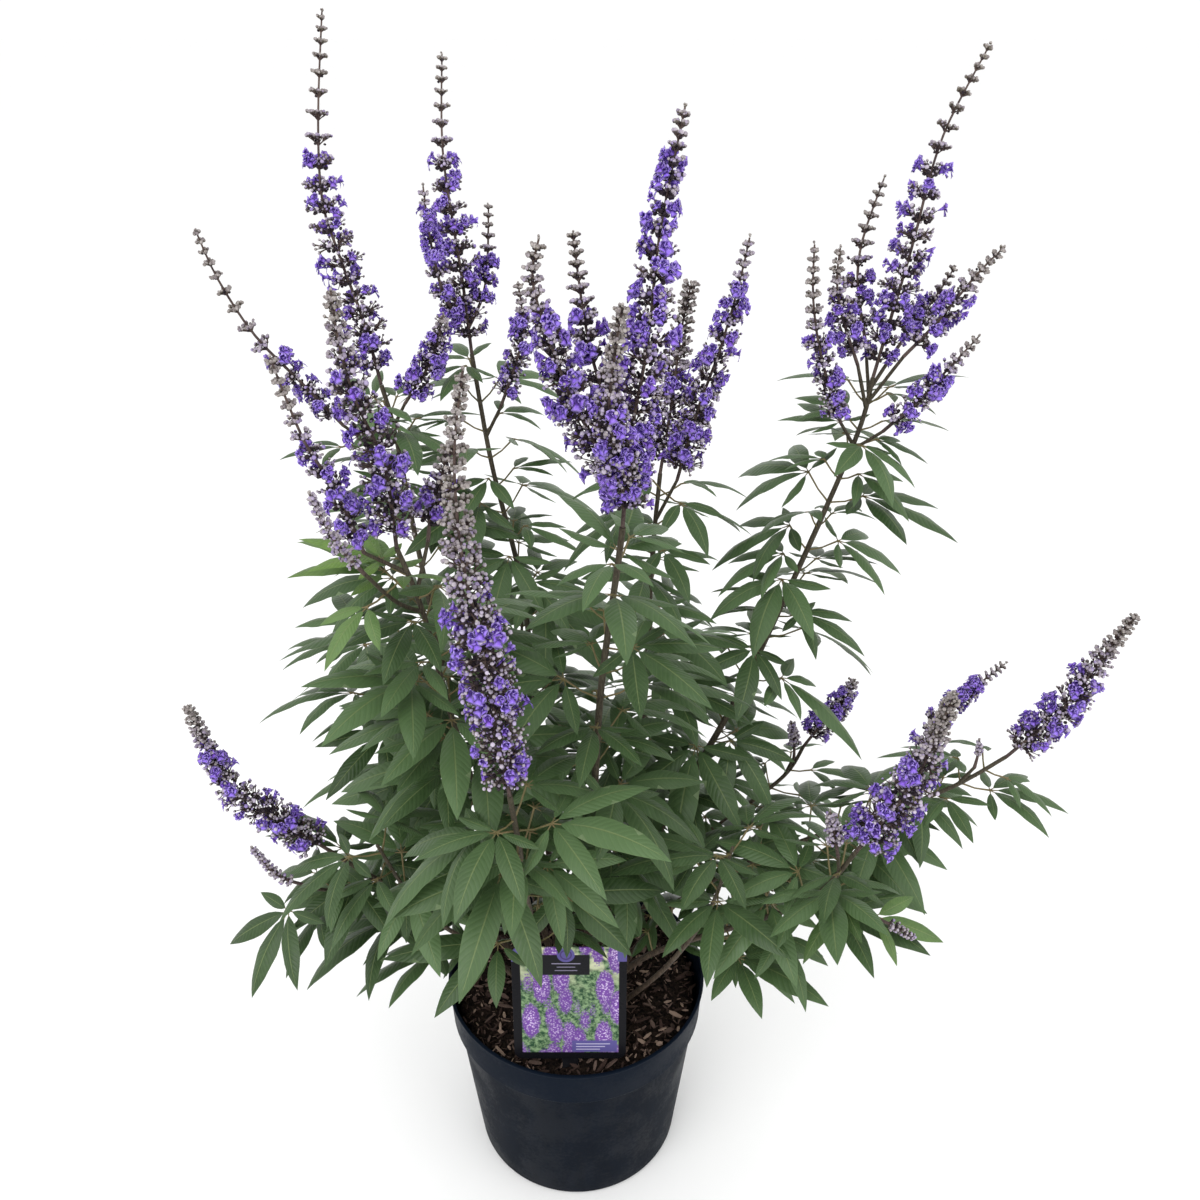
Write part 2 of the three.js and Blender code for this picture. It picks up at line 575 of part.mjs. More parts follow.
// Inner radius of the pot's body at a height
function inside(z) {
  return lerp(POT.foot, POT.shoulder, z / (POT.height - POT.band)) - POT.wall;
}

// Pot: tapered body with a wider rim band and drain holes round its floor
function makePot() {
  const step = POT.height - POT.band;
  const whole = turned([
    [0, 0], [POT.foot - 3, 0], [POT.foot, 4], [POT.shoulder, step], [POT.lip, step + 1], [POT.rim - 1.5, POT.height - 3],
    [POT.rim, POT.height - 1.5], [POT.rim - 1.5, POT.height], [POT.rim - 3.4, POT.height], [POT.lip - 2.6, step + 4],
    [inside(step - 3), step - 3], [inside(POT.wall), POT.wall], [0, POT.wall],
  ], POT.sides);
  const drains = [];
  for (let i = 0; i < 6; i++) {
    const w = (i + 0.5) * Math.PI / 3;
    const drain = new THREE.CylinderGeometry(POT.drain, POT.drain, 12, 5).rotateX(Math.PI / 2);
    drains.push(drain.translate((POT.foot - 19) * Math.cos(w), (POT.foot - 19) * Math.sin(w), 3));
  }
  return piece('pot', solid(whole).subtract(fuse(drains)), COLOUR.pot, 0.5);
}

// Soil: full to the pot's inside, rough on top with bark and chips, with the given holes in it
function makeSoil(holes) {
  const draw = draws(77);
  const step = POT.height - POT.band;
  const room = SOIL.gap + 0.8;
  const whole = mergeVertices(bareOf(turned([
    [0, POT.wall + SOIL.gap], [inside(POT.wall + 2) - room, POT.wall + SOIL.gap], [inside(step - 8) - room, step - 8],
    [inside(step) - room, SOIL.top - 2], [104, SOIL.top], [66, SOIL.top], [0, SOIL.top],
  ], 16)), 1e-3);
  const at = whole.attributes.position;
  for (let i = 0; i < at.count; i++) {
    const r = Math.hypot(at.getX(i), at.getY(i));
    if (at.getZ(i) < SOIL.top - 1 || r < 1) continue;
    at.setX(i, at.getX(i) + 8 * (draw() - 0.5));
    at.setY(i, at.getY(i) + 8 * (draw() - 0.5));
    at.setZ(i, at.getZ(i) + 2 * SOIL.relief * (draw() - 0.5));
  }
  return piece('soil', solid(whole).subtract(fuse(holes)), COLOUR.soil, 0.95);
}

function bareOf(geometry) {
  geometry.deleteAttribute('normal');
  geometry.deleteAttribute('uv');
  return geometry;
}

// Upright plate from a flat outline, from front to back
function plate(outline, front, back) {
  const geometry = new THREE.ExtrudeGeometry(outline, { depth: back - front, bevelEnabled: false, curveSegments: 2 });
  return geometry.rotateX(Math.PI / 2).translate(0, back, 0);
}

// Card outline with round corners
function cardOutline() {
  const [w, h, r] = [CARD.width / 2, CARD.height / 2, CARD.corner];
  const outline = new THREE.Shape();
  outline.moveTo(r - w, -h).lineTo(w - r, -h).quadraticCurveTo(w, -h, w, r - h).lineTo(w, h - r);
  outline.quadraticCurveTo(w, h, w - r, h).lineTo(r - w, h).quadraticCurveTo(-w, h, -w, h - r);
  outline.lineTo(-w, r - h).quadraticCurveTo(-w, -h, r - w, -h);
  return outline;
}

// Label: a thin card on a flat stake that stands in the soil, leaning back
function makeLabel() {
  const label = new THREE.Group();
  label.position.set(...CARD.middle);
  label.rotation.x = -rad(CARD.lean);
  const low = -CARD.height / 2;
  const back = CARD.thick / 2;
  const points = [[-5, low - 56], [5, low - 56], [8, low - 20], [8, 20], [-8, 20], [-8, low - 20]];
  const stake = new THREE.Shape(points.map(([x, y]) => new THREE.Vector2(x, y)));
  label.add(piece('label_card', solid(plate(cardOutline(), -back, back)), COLOUR.card, 0.35));
  label.add(piece('label_stake', solid(plate(stake, back + 0.3, back + 2.8)), COLOUR.stake, 0.45));
  label.updateMatrixWorld(true);
  const slot = new THREE.Shape([[-9, low - 58], [9, low - 58], [9, 0], [-9, 0]].map((p) => new THREE.Vector2(...p)));
  return { label, slot: plate(slot, back - 0.3, back + 3.4).applyMatrix4(label.matrixWorld) };
}

// Straight pieces between a curve's points
const spans = (curve) => curve.points.slice(1).map((p, i) => [curve.points[i], p]);

// Stem of a shoot with its twigs; each end is [point, direction]
function makeStem(name, shoot) {
  const curve = shootLine(shoot);
  const shapes = [shape(tube(stations(curve, shoot.radius, true), 4))];
  const ends = [[curve.point(curve.long), curve.along(curve.long)]];
  const stem = keep(spans(curve), [], 0.8 * shoot.radius[0]);
  const twigs = (TWIGS[name] ?? []).map(([start, ...rest]) => {
    const twig = line(smooth([curve.point(curve.nearest(start)), ...rest], 2));
    shapes.push(shape(tube(stations(twig, [1.9, 1.7], false), 4)));
    ends.push([twig.point(twig.long), twig.along(twig.long)]);
    return { curve: twig, stem: keep(spans(twig), [], 1.9) };
  });
  return { name, shoot, curve, stem, twigs, shapes, ends };
}

// Flower spike on an end, with its side axes
function makeSpike({ axes }, [end, way], k) {
  let main = null;
  return axes.map((axis, i) => {
    const from = i ? main.point(main.nearest(axis.path[0])) : add(end, way, 0.35);
    const curve = line(smooth([from, ...axis.path.slice(i ? 1 : 0)], 4));
    main = main ?? curve;
    for (let j = 0; j < curve.points.length - 1; j += 2) {
      const far = curve.points[Math.min(j + 2, curve.points.length - 1)];
      keep([[curve.points[j], far]], [], whorl(axis, curve.at[j] / curve.long));
    }
    return shape(spikeBody(axis, curve, i ? 26 : 14, i ? curve.along(0) : way, 900 + 10 * k + i));
  });
}

// Leaves of a shoot in pairs, each pair square to the one below it. A stem with no flowers
// ends in a small pair, and a long twig carries one.
function makeLeaves({ shoot, curve, stem, twigs }, flowers, k) {
  const [first, last, gap] = shoot.leaves;
  const places = [];
  for (let s = first; s <= last; s += gap) {
    const u = (s - first) / (last - first);
    places.push({ curve, stem, s, long: lerp(shoot.size[0], shoot.size[1], u), low: 1 - u });
  }
  if (!flowers) places.push({ curve, stem, s: curve.long - 10, long: 80, low: 0 });
  for (const twig of twigs) {
    if (twig.curve.long > 55) places.push({ ...twig, s: 0.6 * twig.curve.long, long: 62, low: 0 });
  }
  const shapes = [];
  places.forEach((place, i) => {
    for (const side of [0, 1]) {
      const azimuth = shoot.turn + 90 * i + 180 * side;
      const placed = placeLeaf({ ...place, azimuth, seed: 100 * (k + 1) + 2 * i + side });
      if (placed) shapes.push(shape(leafBody(placed.leaf, placed.parts)));
    }
  });
  return shapes;
}

// Stems and spikes take their places first, then the leaves hang clear of them and each other
const shoots = Object.entries(SHOOTS).map(([name, shoot]) => makeStem(name, shoot));
const stems = Object.fromEntries(shoots.map((shoot) => [shoot.name, shoot]));
const spikes = Object.entries(SPIKES).map(([name, spike], k) => {
  const [stem, end] = spike.on;
  return [name, makeSpike(spike, stems[stem].ends[end], k)];
});
const flowering = new Set(Object.values(SPIKES).filter(({ on }) => on[1] === 0).map(({ on }) => on[0]));

const plant = new THREE.Group();
shoots.forEach((shoot, k) => {
  const shapes = [...shoot.shapes, ...makeLeaves(shoot, flowering.has(shoot.name), k)];
  plant.add(piece('shoot_' + shoot.name, fuse(shapes), COLOUR.leaf, 0.6));
});
spikes.forEach(([name, shapes]) => plant.add(piece('spike_' + name, fuse(shapes), COLOUR.flower, 0.8)));

// Plain holes for the stems and the stake
const { label, slot } = makeLabel();
const holes = shoots.map(({ shoot: { foot: [x, y], radius: [r] } }) => shape(tube([
  [[x, y, SOIL.top - SOIL.holeDepth], [0, 0, 1], r + 0.7],
  [[x, y, SOIL.top + 20], [0, 0, 1], r + 0.7],
], 4)));

const container = new THREE.Group();
container.add(makePot(), makeSoil([...holes, slot]));

const chasteTree = new THREE.Group();
chasteTree.add(container, plant, label);
export default chasteTree;
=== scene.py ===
"""Potted chaste tree: leafy shoots with palmate leaves and violet flower spikes in a nursery pot."""
import functools
import json
import math
from collections import namedtuple
from types import SimpleNamespace

import bpy
import numpy as np
from mathutils import Matrix, Vector

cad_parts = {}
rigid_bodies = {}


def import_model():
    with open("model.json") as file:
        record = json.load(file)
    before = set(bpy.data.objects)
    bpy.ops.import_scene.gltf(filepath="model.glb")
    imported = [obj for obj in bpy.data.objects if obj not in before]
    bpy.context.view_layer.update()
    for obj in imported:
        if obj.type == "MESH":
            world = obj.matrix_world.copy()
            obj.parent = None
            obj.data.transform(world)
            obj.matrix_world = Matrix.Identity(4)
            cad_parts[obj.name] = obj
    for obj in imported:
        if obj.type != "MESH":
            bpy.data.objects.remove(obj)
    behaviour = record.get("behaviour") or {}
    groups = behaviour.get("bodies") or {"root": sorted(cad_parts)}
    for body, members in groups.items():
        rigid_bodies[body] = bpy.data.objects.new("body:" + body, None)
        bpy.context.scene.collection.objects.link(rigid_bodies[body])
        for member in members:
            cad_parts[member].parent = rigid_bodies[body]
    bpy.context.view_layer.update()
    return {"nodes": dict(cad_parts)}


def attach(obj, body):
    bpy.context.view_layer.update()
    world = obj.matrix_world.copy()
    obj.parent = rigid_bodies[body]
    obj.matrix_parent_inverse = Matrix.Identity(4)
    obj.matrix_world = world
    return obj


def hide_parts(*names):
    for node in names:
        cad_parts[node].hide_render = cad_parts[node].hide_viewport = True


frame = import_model()

bl_info = {
    "name": "Potted chaste tree",
    "version": (1, 0, 0),
    "blender": (4, 5, 0),
    "location": "3D View > Sidebar > Chaste tree",
    "description": "Dresses the chaste tree and its pot with leaves, flowers, bark mulch and finishes",
    "category": "Object",
}

# Millimetres, as the solids have them
POT = {
    "height": 227, "rim": 140, "lip": 136.5, "shoulder": 132, "foot": 113, "band": 44, "wall": 2.6,
    "drain": 7, "drain_ring": 94,
}
SOIL = {"top": 211, "gap": 0.4, "hole_depth": 42}
CARD = {"width": 112, "height": 138, "thick": 1.4, "corner": 9, "middle": [-4, -105, 291], "lean": 7}
LEAF = {"rib": 1.7, "clear": 1.1, "lowest": 300, "stalk": 0.36, "vary": (0.94, 1.06), "droop": (0.04, 0.16)}
AXIS = {"thick": 1.7, "tip": 0.9}
# The solids' leaflet in parts of its length: where it is widest, half its width there, how far its margin
# hangs below its rib, how far out the rib is highest, and where its tip is
BLADE = {"widest": 0.46, "half": 0.135, "hang": 0.035, "rib": 0.5, "tip": 0.96}
# How a leaf stands, in degrees: between the places tried for it, its turn by chance, how far it dips, how
# much more a low one does, and how far it rolls to either side
STANCE = {"step": 12, "chance": 8, "dip": (-8, 30), "low_dip": 16, "roll": 24}

# A shoot's foot, its radius there and at its tip, where its leaves start and end with the gap between their
# pairs, which way the first pair points, how long its lowest and its highest leaves are, and its path
Shoot = namedtuple("Shoot", "foot radius leaves turn size path")
# The shoot that a spike tops, at which of its ends, how close its whorls stand, how much of them is in
# flower, and its axes
Spike = namedtuple("Spike", "shoot end pace lush axes")
# An axis's radius over its flowers low down and at its tip, the part of it that is open, and its path
Axis = namedtuple("Axis", "girth tip open path")

SHOOTS = {
    "front": Shoot(
        foot=[-4, -30], radius=[4, 2.4], leaves=[235, 390, 77], turn=80, size=[124, 112],
        path=[[-30, -72, 317], [-39, -124, 442], [-41, -160, 537], [-44, -190, 618]]),
    "low_right": Shoot(
        foot=[22, -32], radius=[4, 2.1], leaves=[200, 420, 73], turn=30, size=[120, 88],
        path=[[76, -66, 317], [173, -120, 419], [213, -150, 476], [238, -168, 543]]),
    "low_left": Shoot(
        foot=[-44, -6], radius=[3.6, 2], leaves=[240, 325, 85], turn=40, size=[112, 84],
        path=[[-79, -20, 290], [-143, -50, 375], [-188, -70, 422], [-225, -85, 471]]),
    "front_left": Shoot(
        foot=[-24, -12], radius=[4, 2.2], leaves=[330, 590, 86], turn=70, size=[120, 98],
        path=[[-72, -40, 418], [-102, -75, 608], [-116, -95, 727], [-130, -105, 790]]),
    "middle": Shoot(
        foot=[10, -8], radius=[4.6, 2.6], leaves=[260, 590, 110], turn=10, size=[122, 100],
        path=[[18, -50, 440], [26, -90, 640], [40, -110, 780], [43, -115, 812]]),
    "far_right": Shoot(
        foot=[38, -10], radius=[4, 1.9], leaves=[290, 500, 105], turn=0, size=[112, 76],
        path=[[109, -10, 336], [206, -20, 413], [297, -30, 466], [359, -40, 509], [400, -46, 548]]),
    "tall_left": Shoot(
        foot=[-26, 14], radius=[4.2, 2.3], leaves=[300, 600, 100], turn=20, size=[118, 98],
        path=[[-59, 30, 369], [-122, 70, 533], [-150, 100, 677], [-167, 120, 800], [-177, 127, 845]]),
    "tall_right": Shoot(
        foot=[32, 10], radius=[4.6, 2.3], leaves=[330, 720, 97], turn=60, size=[120, 84],
        path=[[78, 20, 378], [155, 50, 530], [202, 70, 642], [260, 95, 799], [272, 101, 860]]),
    "back_left": Shoot(
        foot=[-8, 30], radius=[4, 2.2], leaves=[340, 670, 110], turn=55, size=[116, 86],
        path=[[-30, 44, 360], [-41, 80, 526], [-53, 110, 647], [-79, 135, 763], [-94, 149, 868]]),
    "mid_right": Shoot(
        foot=[42, 28], radius=[3.6, 2], leaves=[210, 330, 110], turn=75, size=[108, 84],
        path=[[112, 44, 346], [176, 60, 398], [222, 70, 437], [240, 76, 470]]),
    "back_middle": Shoot(
        foot=[14, 24], radius=[4, 2.2], leaves=[320, 560, 120], turn=40, size=[114, 96],
        path=[[52, 34, 369], [71, 60, 539], [76, 84, 680], [82, 90, 772]]),
    "fill_front_left": Shoot(
        foot=[-32, -44], radius=[3.4, 1.6], leaves=[200, 310, 110], turn=20, size=[114, 100],
        path=[[-84, -70, 320], [-140, -100, 410], [-172, -112, 500]]),
    "fill_front_right": Shoot(
        foot=[48, -42], radius=[3.4, 1.6], leaves=[210, 310, 100], turn=60, size=[114, 98],
        path=[[92, -84, 320], [126, -112, 420], [142, -126, 510]]),
    "fill_side_left": Shoot(
        foot=[-50, 24], radius=[3.4, 1.6], leaves=[230, 410, 90], turn=30, size=[114, 92],
        path=[[-104, 44, 350], [-166, 50, 490], [-202, 44, 620]]),
    "fill_back": Shoot(
        foot=[-24, 46], radius=[3.6, 1.6], leaves=[190, 350, 160], turn=0, size=[118, 94],
        path=[[-50, 96, 330], [-62, 150, 450], [-60, 190, 560]]),
    "fill_back_right": Shoot(
        foot=[28, 48], radius=[3.6, 1.6], leaves=[190, 340, 150], turn=45, size=[118, 94],
        path=[[60, 110, 330], [90, 160, 430], [110, 190, 530]]),
}

# Twigs of a shoot, each from near its first point on
TWIGS = {
    "tall_left": [[[-168, 121, 806], [-154, 112, 832]],
        [[-166, 119, 792], [-186, 104, 796], [-208, 92, 818]]],
    "front_left": [[[-126, -102, 765], [-154, -110, 788]],
        [[-116, -95, 727], [-132, -118, 750], [-147, -148, 790]], [[-122, -98, 745], [-109, -86, 786]]],
    "back_left": [[[-84, 139, 790], [-67, 128, 824]]],
    "back_middle": [[[78, 86, 725], [96, 64, 776]]],
    "tall_right": [[[260, 95, 799], [242, 76, 826]], [[267, 98, 834], [252, 80, 878]],
        [[269, 99, 842], [268, 126, 884]], [[271, 100, 850], [297, 126, 880]],
        [[268, 99, 838], [292, 84, 884]], [[258, 94, 793], [280, 76, 818]]],
    "far_right": [[[318, -33, 481], [334, 0, 508]], [[362, -41, 512], [372, -47, 536]]],
    "low_right": [[[228, -160, 512], [222, -172, 540]], [[217, -152, 484], [246, -204, 506]]],
    "mid_right": [[[222, 70, 437], [228, 62, 466]]],
    "low_left": [[[-188, -70, 422], [-224, -100, 436], [-240, -112, 452]]],
}

SPIKES = {
    "tall_left": Spike("tall_left", 0, 1, 0.28, [
        Axis(19, 4, 0.64, [[-190, 140, 900], [-208, 152, 955], [-220, 160, 1003], [-218, 170, 1068],
            [-207, 180, 1150]])]),
    "tall_left_side": Spike("tall_left", 1, 0.85, 0.42, [
        Axis(15, 6, 0.75, [[-131, 100, 866], [-118, 95, 892], [-110, 90, 919]])]),
    "far_left": Spike("tall_left", 2, 1, 0.36, [
        Axis(11, 3.5, 0.43, [[-235, 70, 865], [-263, 50, 912], [-281, 35, 961], [-287, 20, 1001]])]),
    "front_left": Spike("front_left", 0, 0.82, 0.18, [
        Axis(20, 5, 0.7, [[-131, -115, 862], [-143, -128, 912], [-148, -138, 953], [-147, -150, 995]])]),
    "front_left_side": Spike("front_left", 1, 0.9, 0.2, [
        Axis(11, 3.5, 0.6, [[-165, -130, 849], [-177, -150, 893], [-186, -170, 957]])]),
    "front_left_young": Spike("front_left", 2, 0.6, 0, [
        Axis(6, 3, 0, [[-158, -176, 830], [-164, -200, 875]])]),
    "front_left_inner": Spike("front_left", 3, 0.8, 0.1, [
        Axis(14, 5, 0.6, [[-105, -80, 811], [-96, -75, 834], [-92, -70, 858]])]),
    "back_left": Spike("back_left", 0, 0.95, 0.5, [
        Axis(18, 4, 0.68, [[-99, 155, 929], [-106, 165, 982], [-113, 178, 1045], [-110, 190, 1117]]),
        Axis(10, 4, 0.88, [[-97, 152, 896], [-112, 126, 925], [-119, 110, 975], [-120, 95, 1024]]),
        Axis(10, 4, 0.62, [[-96, 152, 892], [-82, 165, 920], [-78, 180, 950], [-76, 190, 993]])]),
    "back_left_side": Spike("back_left", 1, 0.85, 0.42, [
        Axis(12, 5, 0.74, [[-51, 115, 868], [-42, 110, 901], [-45, 105, 942]])]),
    "front": Spike("front", 0, 0.75, 0.14, [
        Axis(21, 4, 0.53, [[-51, -205, 710], [-57, -225, 792], [-62, -240, 856], [-60, -255, 924],
            [-50, -270, 979]])]),
    "middle": Spike("middle", 0, 0.76, 0.38, [
        Axis(21, 5, 0.87, [[48, -108, 879], [60, -95, 947], [67, -80, 1017], [83, -60, 1096]]),
        Axis(17, 5, 0.75, [[44, -114, 838], [14, -140, 905], [1, -150, 939], [-16, -160, 1000],
            [-12, -160, 1029]]),
        Axis(15, 5, 0.68, [[46, -110, 868], [24, -80, 918], [14, -70, 962], [7, -60, 1014]]),
        Axis(15, 5, 0.62, [[44, -116, 834], [36, -160, 891], [32, -185, 934], [39, -205, 998]])]),
    "back_middle": Spike("back_middle", 0, 0.7, 0.42, [
        Axis(18, 8, 0.5, [[91, 90, 843], [97, 90, 906], [104, 90, 945]])]),
    "back_middle_side": Spike("back_middle", 1, 0.88, 0.3, [
        Axis(17, 5, 0.85, [[110, 50, 845], [126, 40, 903], [137, 30, 957], [143, 25, 996]])]),
    "tall_right": Spike("tall_right", 0, 0.95, 0.3, [
        Axis(18, 4, 0.63, [[297, 120, 972], [307, 130, 1028], [320, 140, 1070], [347, 150, 1126]])]),
    "tall_right_a": Spike("tall_right", 1, 0.9, 0.3, [
        Axis(12, 4, 0.5, [[215, 55, 890], [201, 45, 943], [197, 40, 988]])]),
    "tall_right_b": Spike("tall_right", 2, 0.85, 0.25, [
        Axis(12, 4, 0.6, [[230, 65, 926], [222, 60, 956], [221, 55, 982]])]),
    "tall_right_c": Spike("tall_right", 3, 0.9, 0.25, [
        Axis(13, 4, 0.45, [[258, 140, 934], [259, 145, 972], [273, 150, 1023]])]),
    "tall_right_d": Spike("tall_right", 4, 0.85, 0.25, [
        Axis(10, 4, 0.65, [[320, 140, 907], [336, 150, 927], [347, 155, 945]])]),
    "tall_right_e": Spike("tall_right", 5, 0.85, 0.25, [
        Axis(13, 4, 0.53, [[313, 75, 915], [336, 60, 959], [351, 50, 983]])]),
    "tall_right_f": Spike("tall_right", 6, 0.8, 0.3, [
        Axis(13, 4, 0.67, [[303, 55, 855], [318, 45, 882], [338, 35, 915]])]),
    "far_right": Spike("far_right", 0, 0.62, 0.42, [
        Axis(18, 5, 0.62, [[438, -54, 608], [459, -57, 663], [476, -60, 704]])]),
    "far_right_side": Spike("far_right", 1, 0.65, 0.5, [
        Axis(11, 4, 0.76, [[353, 20, 540], [375, 25, 564], [414, 30, 601]])]),
    "far_right_bud": Spike("far_right", 2, 0.5, 0, [
        Axis(4, 2.5, 0, [[373, -47, 552], [372, -46, 566]])]),
    "low_right": Spike("low_right", 0, 0.65, 0.42, [
        Axis(20, 6, 0.62, [[267, -190, 631], [274, -200, 681], [280, -205, 721]])]),
    "low_right_bud": Spike("low_right", 1, 0.5, 0, [
        Axis(8, 4, 0, [[216, -173, 566], [211, -172, 587]])]),
    "low_right_low": Spike("low_right", 2, 0.5, 0, [
        Axis(5, 3, 0, [[262, -211, 503], [279, -215, 494]])]),
    "mid_right": Spike("mid_right", 0, 0.65, 0.5, [
        Axis(15, 6, 0.78, [[255, 78, 494], [275, 82, 520], [287, 85, 546]])]),
    "mid_right_bud": Spike("mid_right", 1, 0.5, 0, [
        Axis(7, 4, 0, [[226, 60, 490], [221, 58, 513]])]),
    "low_left": Spike("low_left", 0, 0.6, 0.08, [
        Axis(17, 5, 0.74, [[-249, -95, 504], [-275, -105, 538], [-296, -110, 573], [-311, -118, 650]])]),
    "low_left_bud": Spike("low_left", 1, 0.5, 0, [
        Axis(5, 3, 0, [[-262, -120, 472], [-278, -125, 508]])]),
}

# Where the newest leaves are still a fresh green: [x, y, z, reach]
YOUNG = [[-152, -110, 785, 62], [262, -200, 520, 45]]

# Leaves that fill out the sides: [shoot, twig or none, place along it, way round it, length, droop, seed]
SINGLE = [
    ["low_left", 0, 68, 100, 84, 1.3, 1], ["far_right", None, 405, 310, 84, 0, 2],
    ["far_right", None, 452, 300, 72, 0.2, 3], ["tall_left", None, 680, 315, 74, 0.2, 1096],
    ["tall_left", None, 680, 225, 56, 0.2, 1006], ["tall_right", None, 680, 315, 74, 0.2, 1096],
    ["tall_right", None, 720, 225, 56, 0.2, 1046], ["tall_right", None, 680, 180, 56, 0.2, 961],
]

# Rounds of leaves that fill the gaps between the pairs: [part of the gap, part of the full length]
FILL_ROUNDS = [[0.5, 0.9], [0.25, 0.72], [0.75, 0.72]]
# Where leaves fill a shoot below its first pair, as parts of the way up to it
FILL_LOW = [0.86, 0.68, 0.5, 0.34]

# The front view's eye, and the cosine and sine of how far it looks down
EYE = (26, -865, 1160)
EYE_COS, EYE_SIN = 0.8774, 0.4798
# What leaves don't hide from there: [left, right, low, top] as slopes from the eye, and its depth
CLEARINGS = [[-0.132, 0.1, -0.6, -0.33, 60], [0.168, 0.24, -0.145, -0.072, 85], [-0.3, 0.3, -0.7, -0.385, 60]]

# Leaflets by number: [angle from the middle one, part of its length]
FANS = {
    3: [[-50, 0.7], [0, 1], [50, 0.7]],
    5: [[-92, 0.5], [-43, 0.84], [0, 1], [43, 0.84], [92, 0.5]],
}
BIG_LEAF = 72       # a leaf at least this long has five leaflets
TRIALS = 15         # places that are tried for a leaf of each length
SHORTER = 0.8       # length of a leaf that found no place at its full length
FREE = 8            # first stretch of a leaf's stalk, which may touch anything
ROOM = 6            # what leaves keep from the pot and the label
END_LEAF = 80       # length of the leaves at the end of a shoot without flowers
TWIG_LEAF = 62      # length of a twig's leaves
LEAFY_TWIG = 55     # a twig at least this long has leaves
TWIG_RADIUS = 1.9
FIRST_WHORL = {"main": 14, "side": 26}
TAPER = 0.66        # upper part of a spike that tapers

UP = np.array([0, 0, 1.0])
NONE = np.zeros((0, 3, 3))


# Growth of the plant
def unit(a):
    return a / np.sqrt((a * a).sum())


def lerp(a, b, t):
    return a + (b - a) * t


def held(value, low=0):
    """A value kept between low and 1."""
    return min(1, max(low, value))


def swing(a, b, angle):
    """Direction a turned towards b."""
    return a * math.cos(angle) + b * math.sin(angle)


def square(t):
    """Two directions square to t."""
    a = unit(np.cross(t, [0.2, 1, 0.05]))
    return a, np.cross(t, a)


class Draws:
    """Seeded random numbers from 0 to 1."""

    def __init__(self, seed):
        self.state = (seed * 2654435761) & 0xFFFFFFFF

    def __call__(self, low=0.0, high=1.0):
        self.state = (self.state * 1664525 + 1013904223) & 0xFFFFFFFF
        return lerp(low, high, self.state / 4294967296)

    def shake(self, low=-1):
        """A random vector, whose height starts at low."""
        return np.array([self(-1, 1), self(-1, 1), self(low, 1)])


def smooth(points, n):
    """Points along a smooth curve through the given ones, n to each span."""
    points = [np.array(p, float) for p in points]
    out = []
    for i in range(len(points) - 1):
        a = points[max(i - 1, 0)]
        b = points[i]
        c = points[i + 1]
        d = points[min(i + 2, len(points) - 1)]
        for j in range(n):
            t = j / n
            out.append(0.5 * (2 * b + (c - a) * t + (2 * a - 5 * b + 4 * c - d) * t * t
                              + (3 * b - a - 3 * c + d) * t * t * t))
    return out + [points[-1]]


class Line:
    """A run of straight pieces that gives its place, direction and nearest length."""

    def __init__(self, points):
        self.points = np.array(points, float)
        steps = np.sqrt((np.diff(self.points, axis=0) ** 2).sum(1))
        self.at = np.concatenate([[0.0], np.cumsum(steps)])
        self.long = self.at[-1]

    def find(self, s):
        i = 1
        while i < len(self.points) - 1 and self.at[i] < s:
            i += 1
        return i

    def point(self, s):
        i = self.find(s)
        return lerp(self.points[i - 1], self.points[i], (s - self.at[i - 1]) / (self.at[i] - self.at[i - 1]))

    def along(self, s):
        i = self.find(s)
        return unit(self.points[i] - self.points[i - 1])

    def nearest(self, p):
        """Place on the line nearest to a point, to within a few millimetres."""
        steps = np.arange(0, self.long, 2)
        away = [((self.point(s) - p) ** 2).sum() for s in steps]
        return self.point(steps[int(np.argmin(away))])

    def spans(self):
        return np.stack([self.points[:-1], self.points[1:]], 1)


class Kept:
    """What the leaves keep clear of: straight pieces and flat triangles, with a thickness."""

    def __init__(self):
        self.count = 0
        self.edges = np.zeros((0, 2, 3))
        self.flats = NONE
        self.rooms = np.zeros(0)
        self.owners = [np.zeros(0, int), np.zeros(0, int)]
        self.boxes = [np.zeros((6, 0)), np.zeros((6, 0))]

    def keep(self, edges, flats, radius):
        """Adds a thing and gives its number."""
        room = radius + LEAF["clear"]
        self.edges = np.concatenate([self.edges, edges])
        self.flats = np.concatenate([self.flats, flats])
        self.rooms = np.append(self.rooms, np.full(len(edges), room))
        for k, (shapes, space) in enumerate(((edges, room), (flats, 0))):
            box = np.concatenate([shapes.min(1) - space, -shapes.max(1) - space], 1).T
            self.boxes[k] = np.concatenate([self.boxes[k], box], 1)
            self.owners[k] = np.append(self.owners[k], np.full(len(shapes), self.count))
        self.count += 1
        return self.count - 1

    def near(self, k, edges, skip):
        """Which of the kept shapes reach into the edges' box."""
        here = np.concatenate([edges.max((0, 1)), -edges.min((0, 1))])
        inside = self.owners[k] != skip
        for row, limit in zip(self.boxes[k], here):
            inside &= row <= limit
        return np.flatnonzero(inside)

    def meets(self, edges, flats, skip=None):
        """Whether anything but the skipped thing is too near."""
        near = self.near(0, edges, skip)
        if len(near) and (apart(edges, self.edges[near]) < self.rooms[near]).any():
            return True
        if len(near) and pierces(self.edges[near], flats):
            return True
        return pierces(edges, self.flats[self.near(1, edges, skip)])


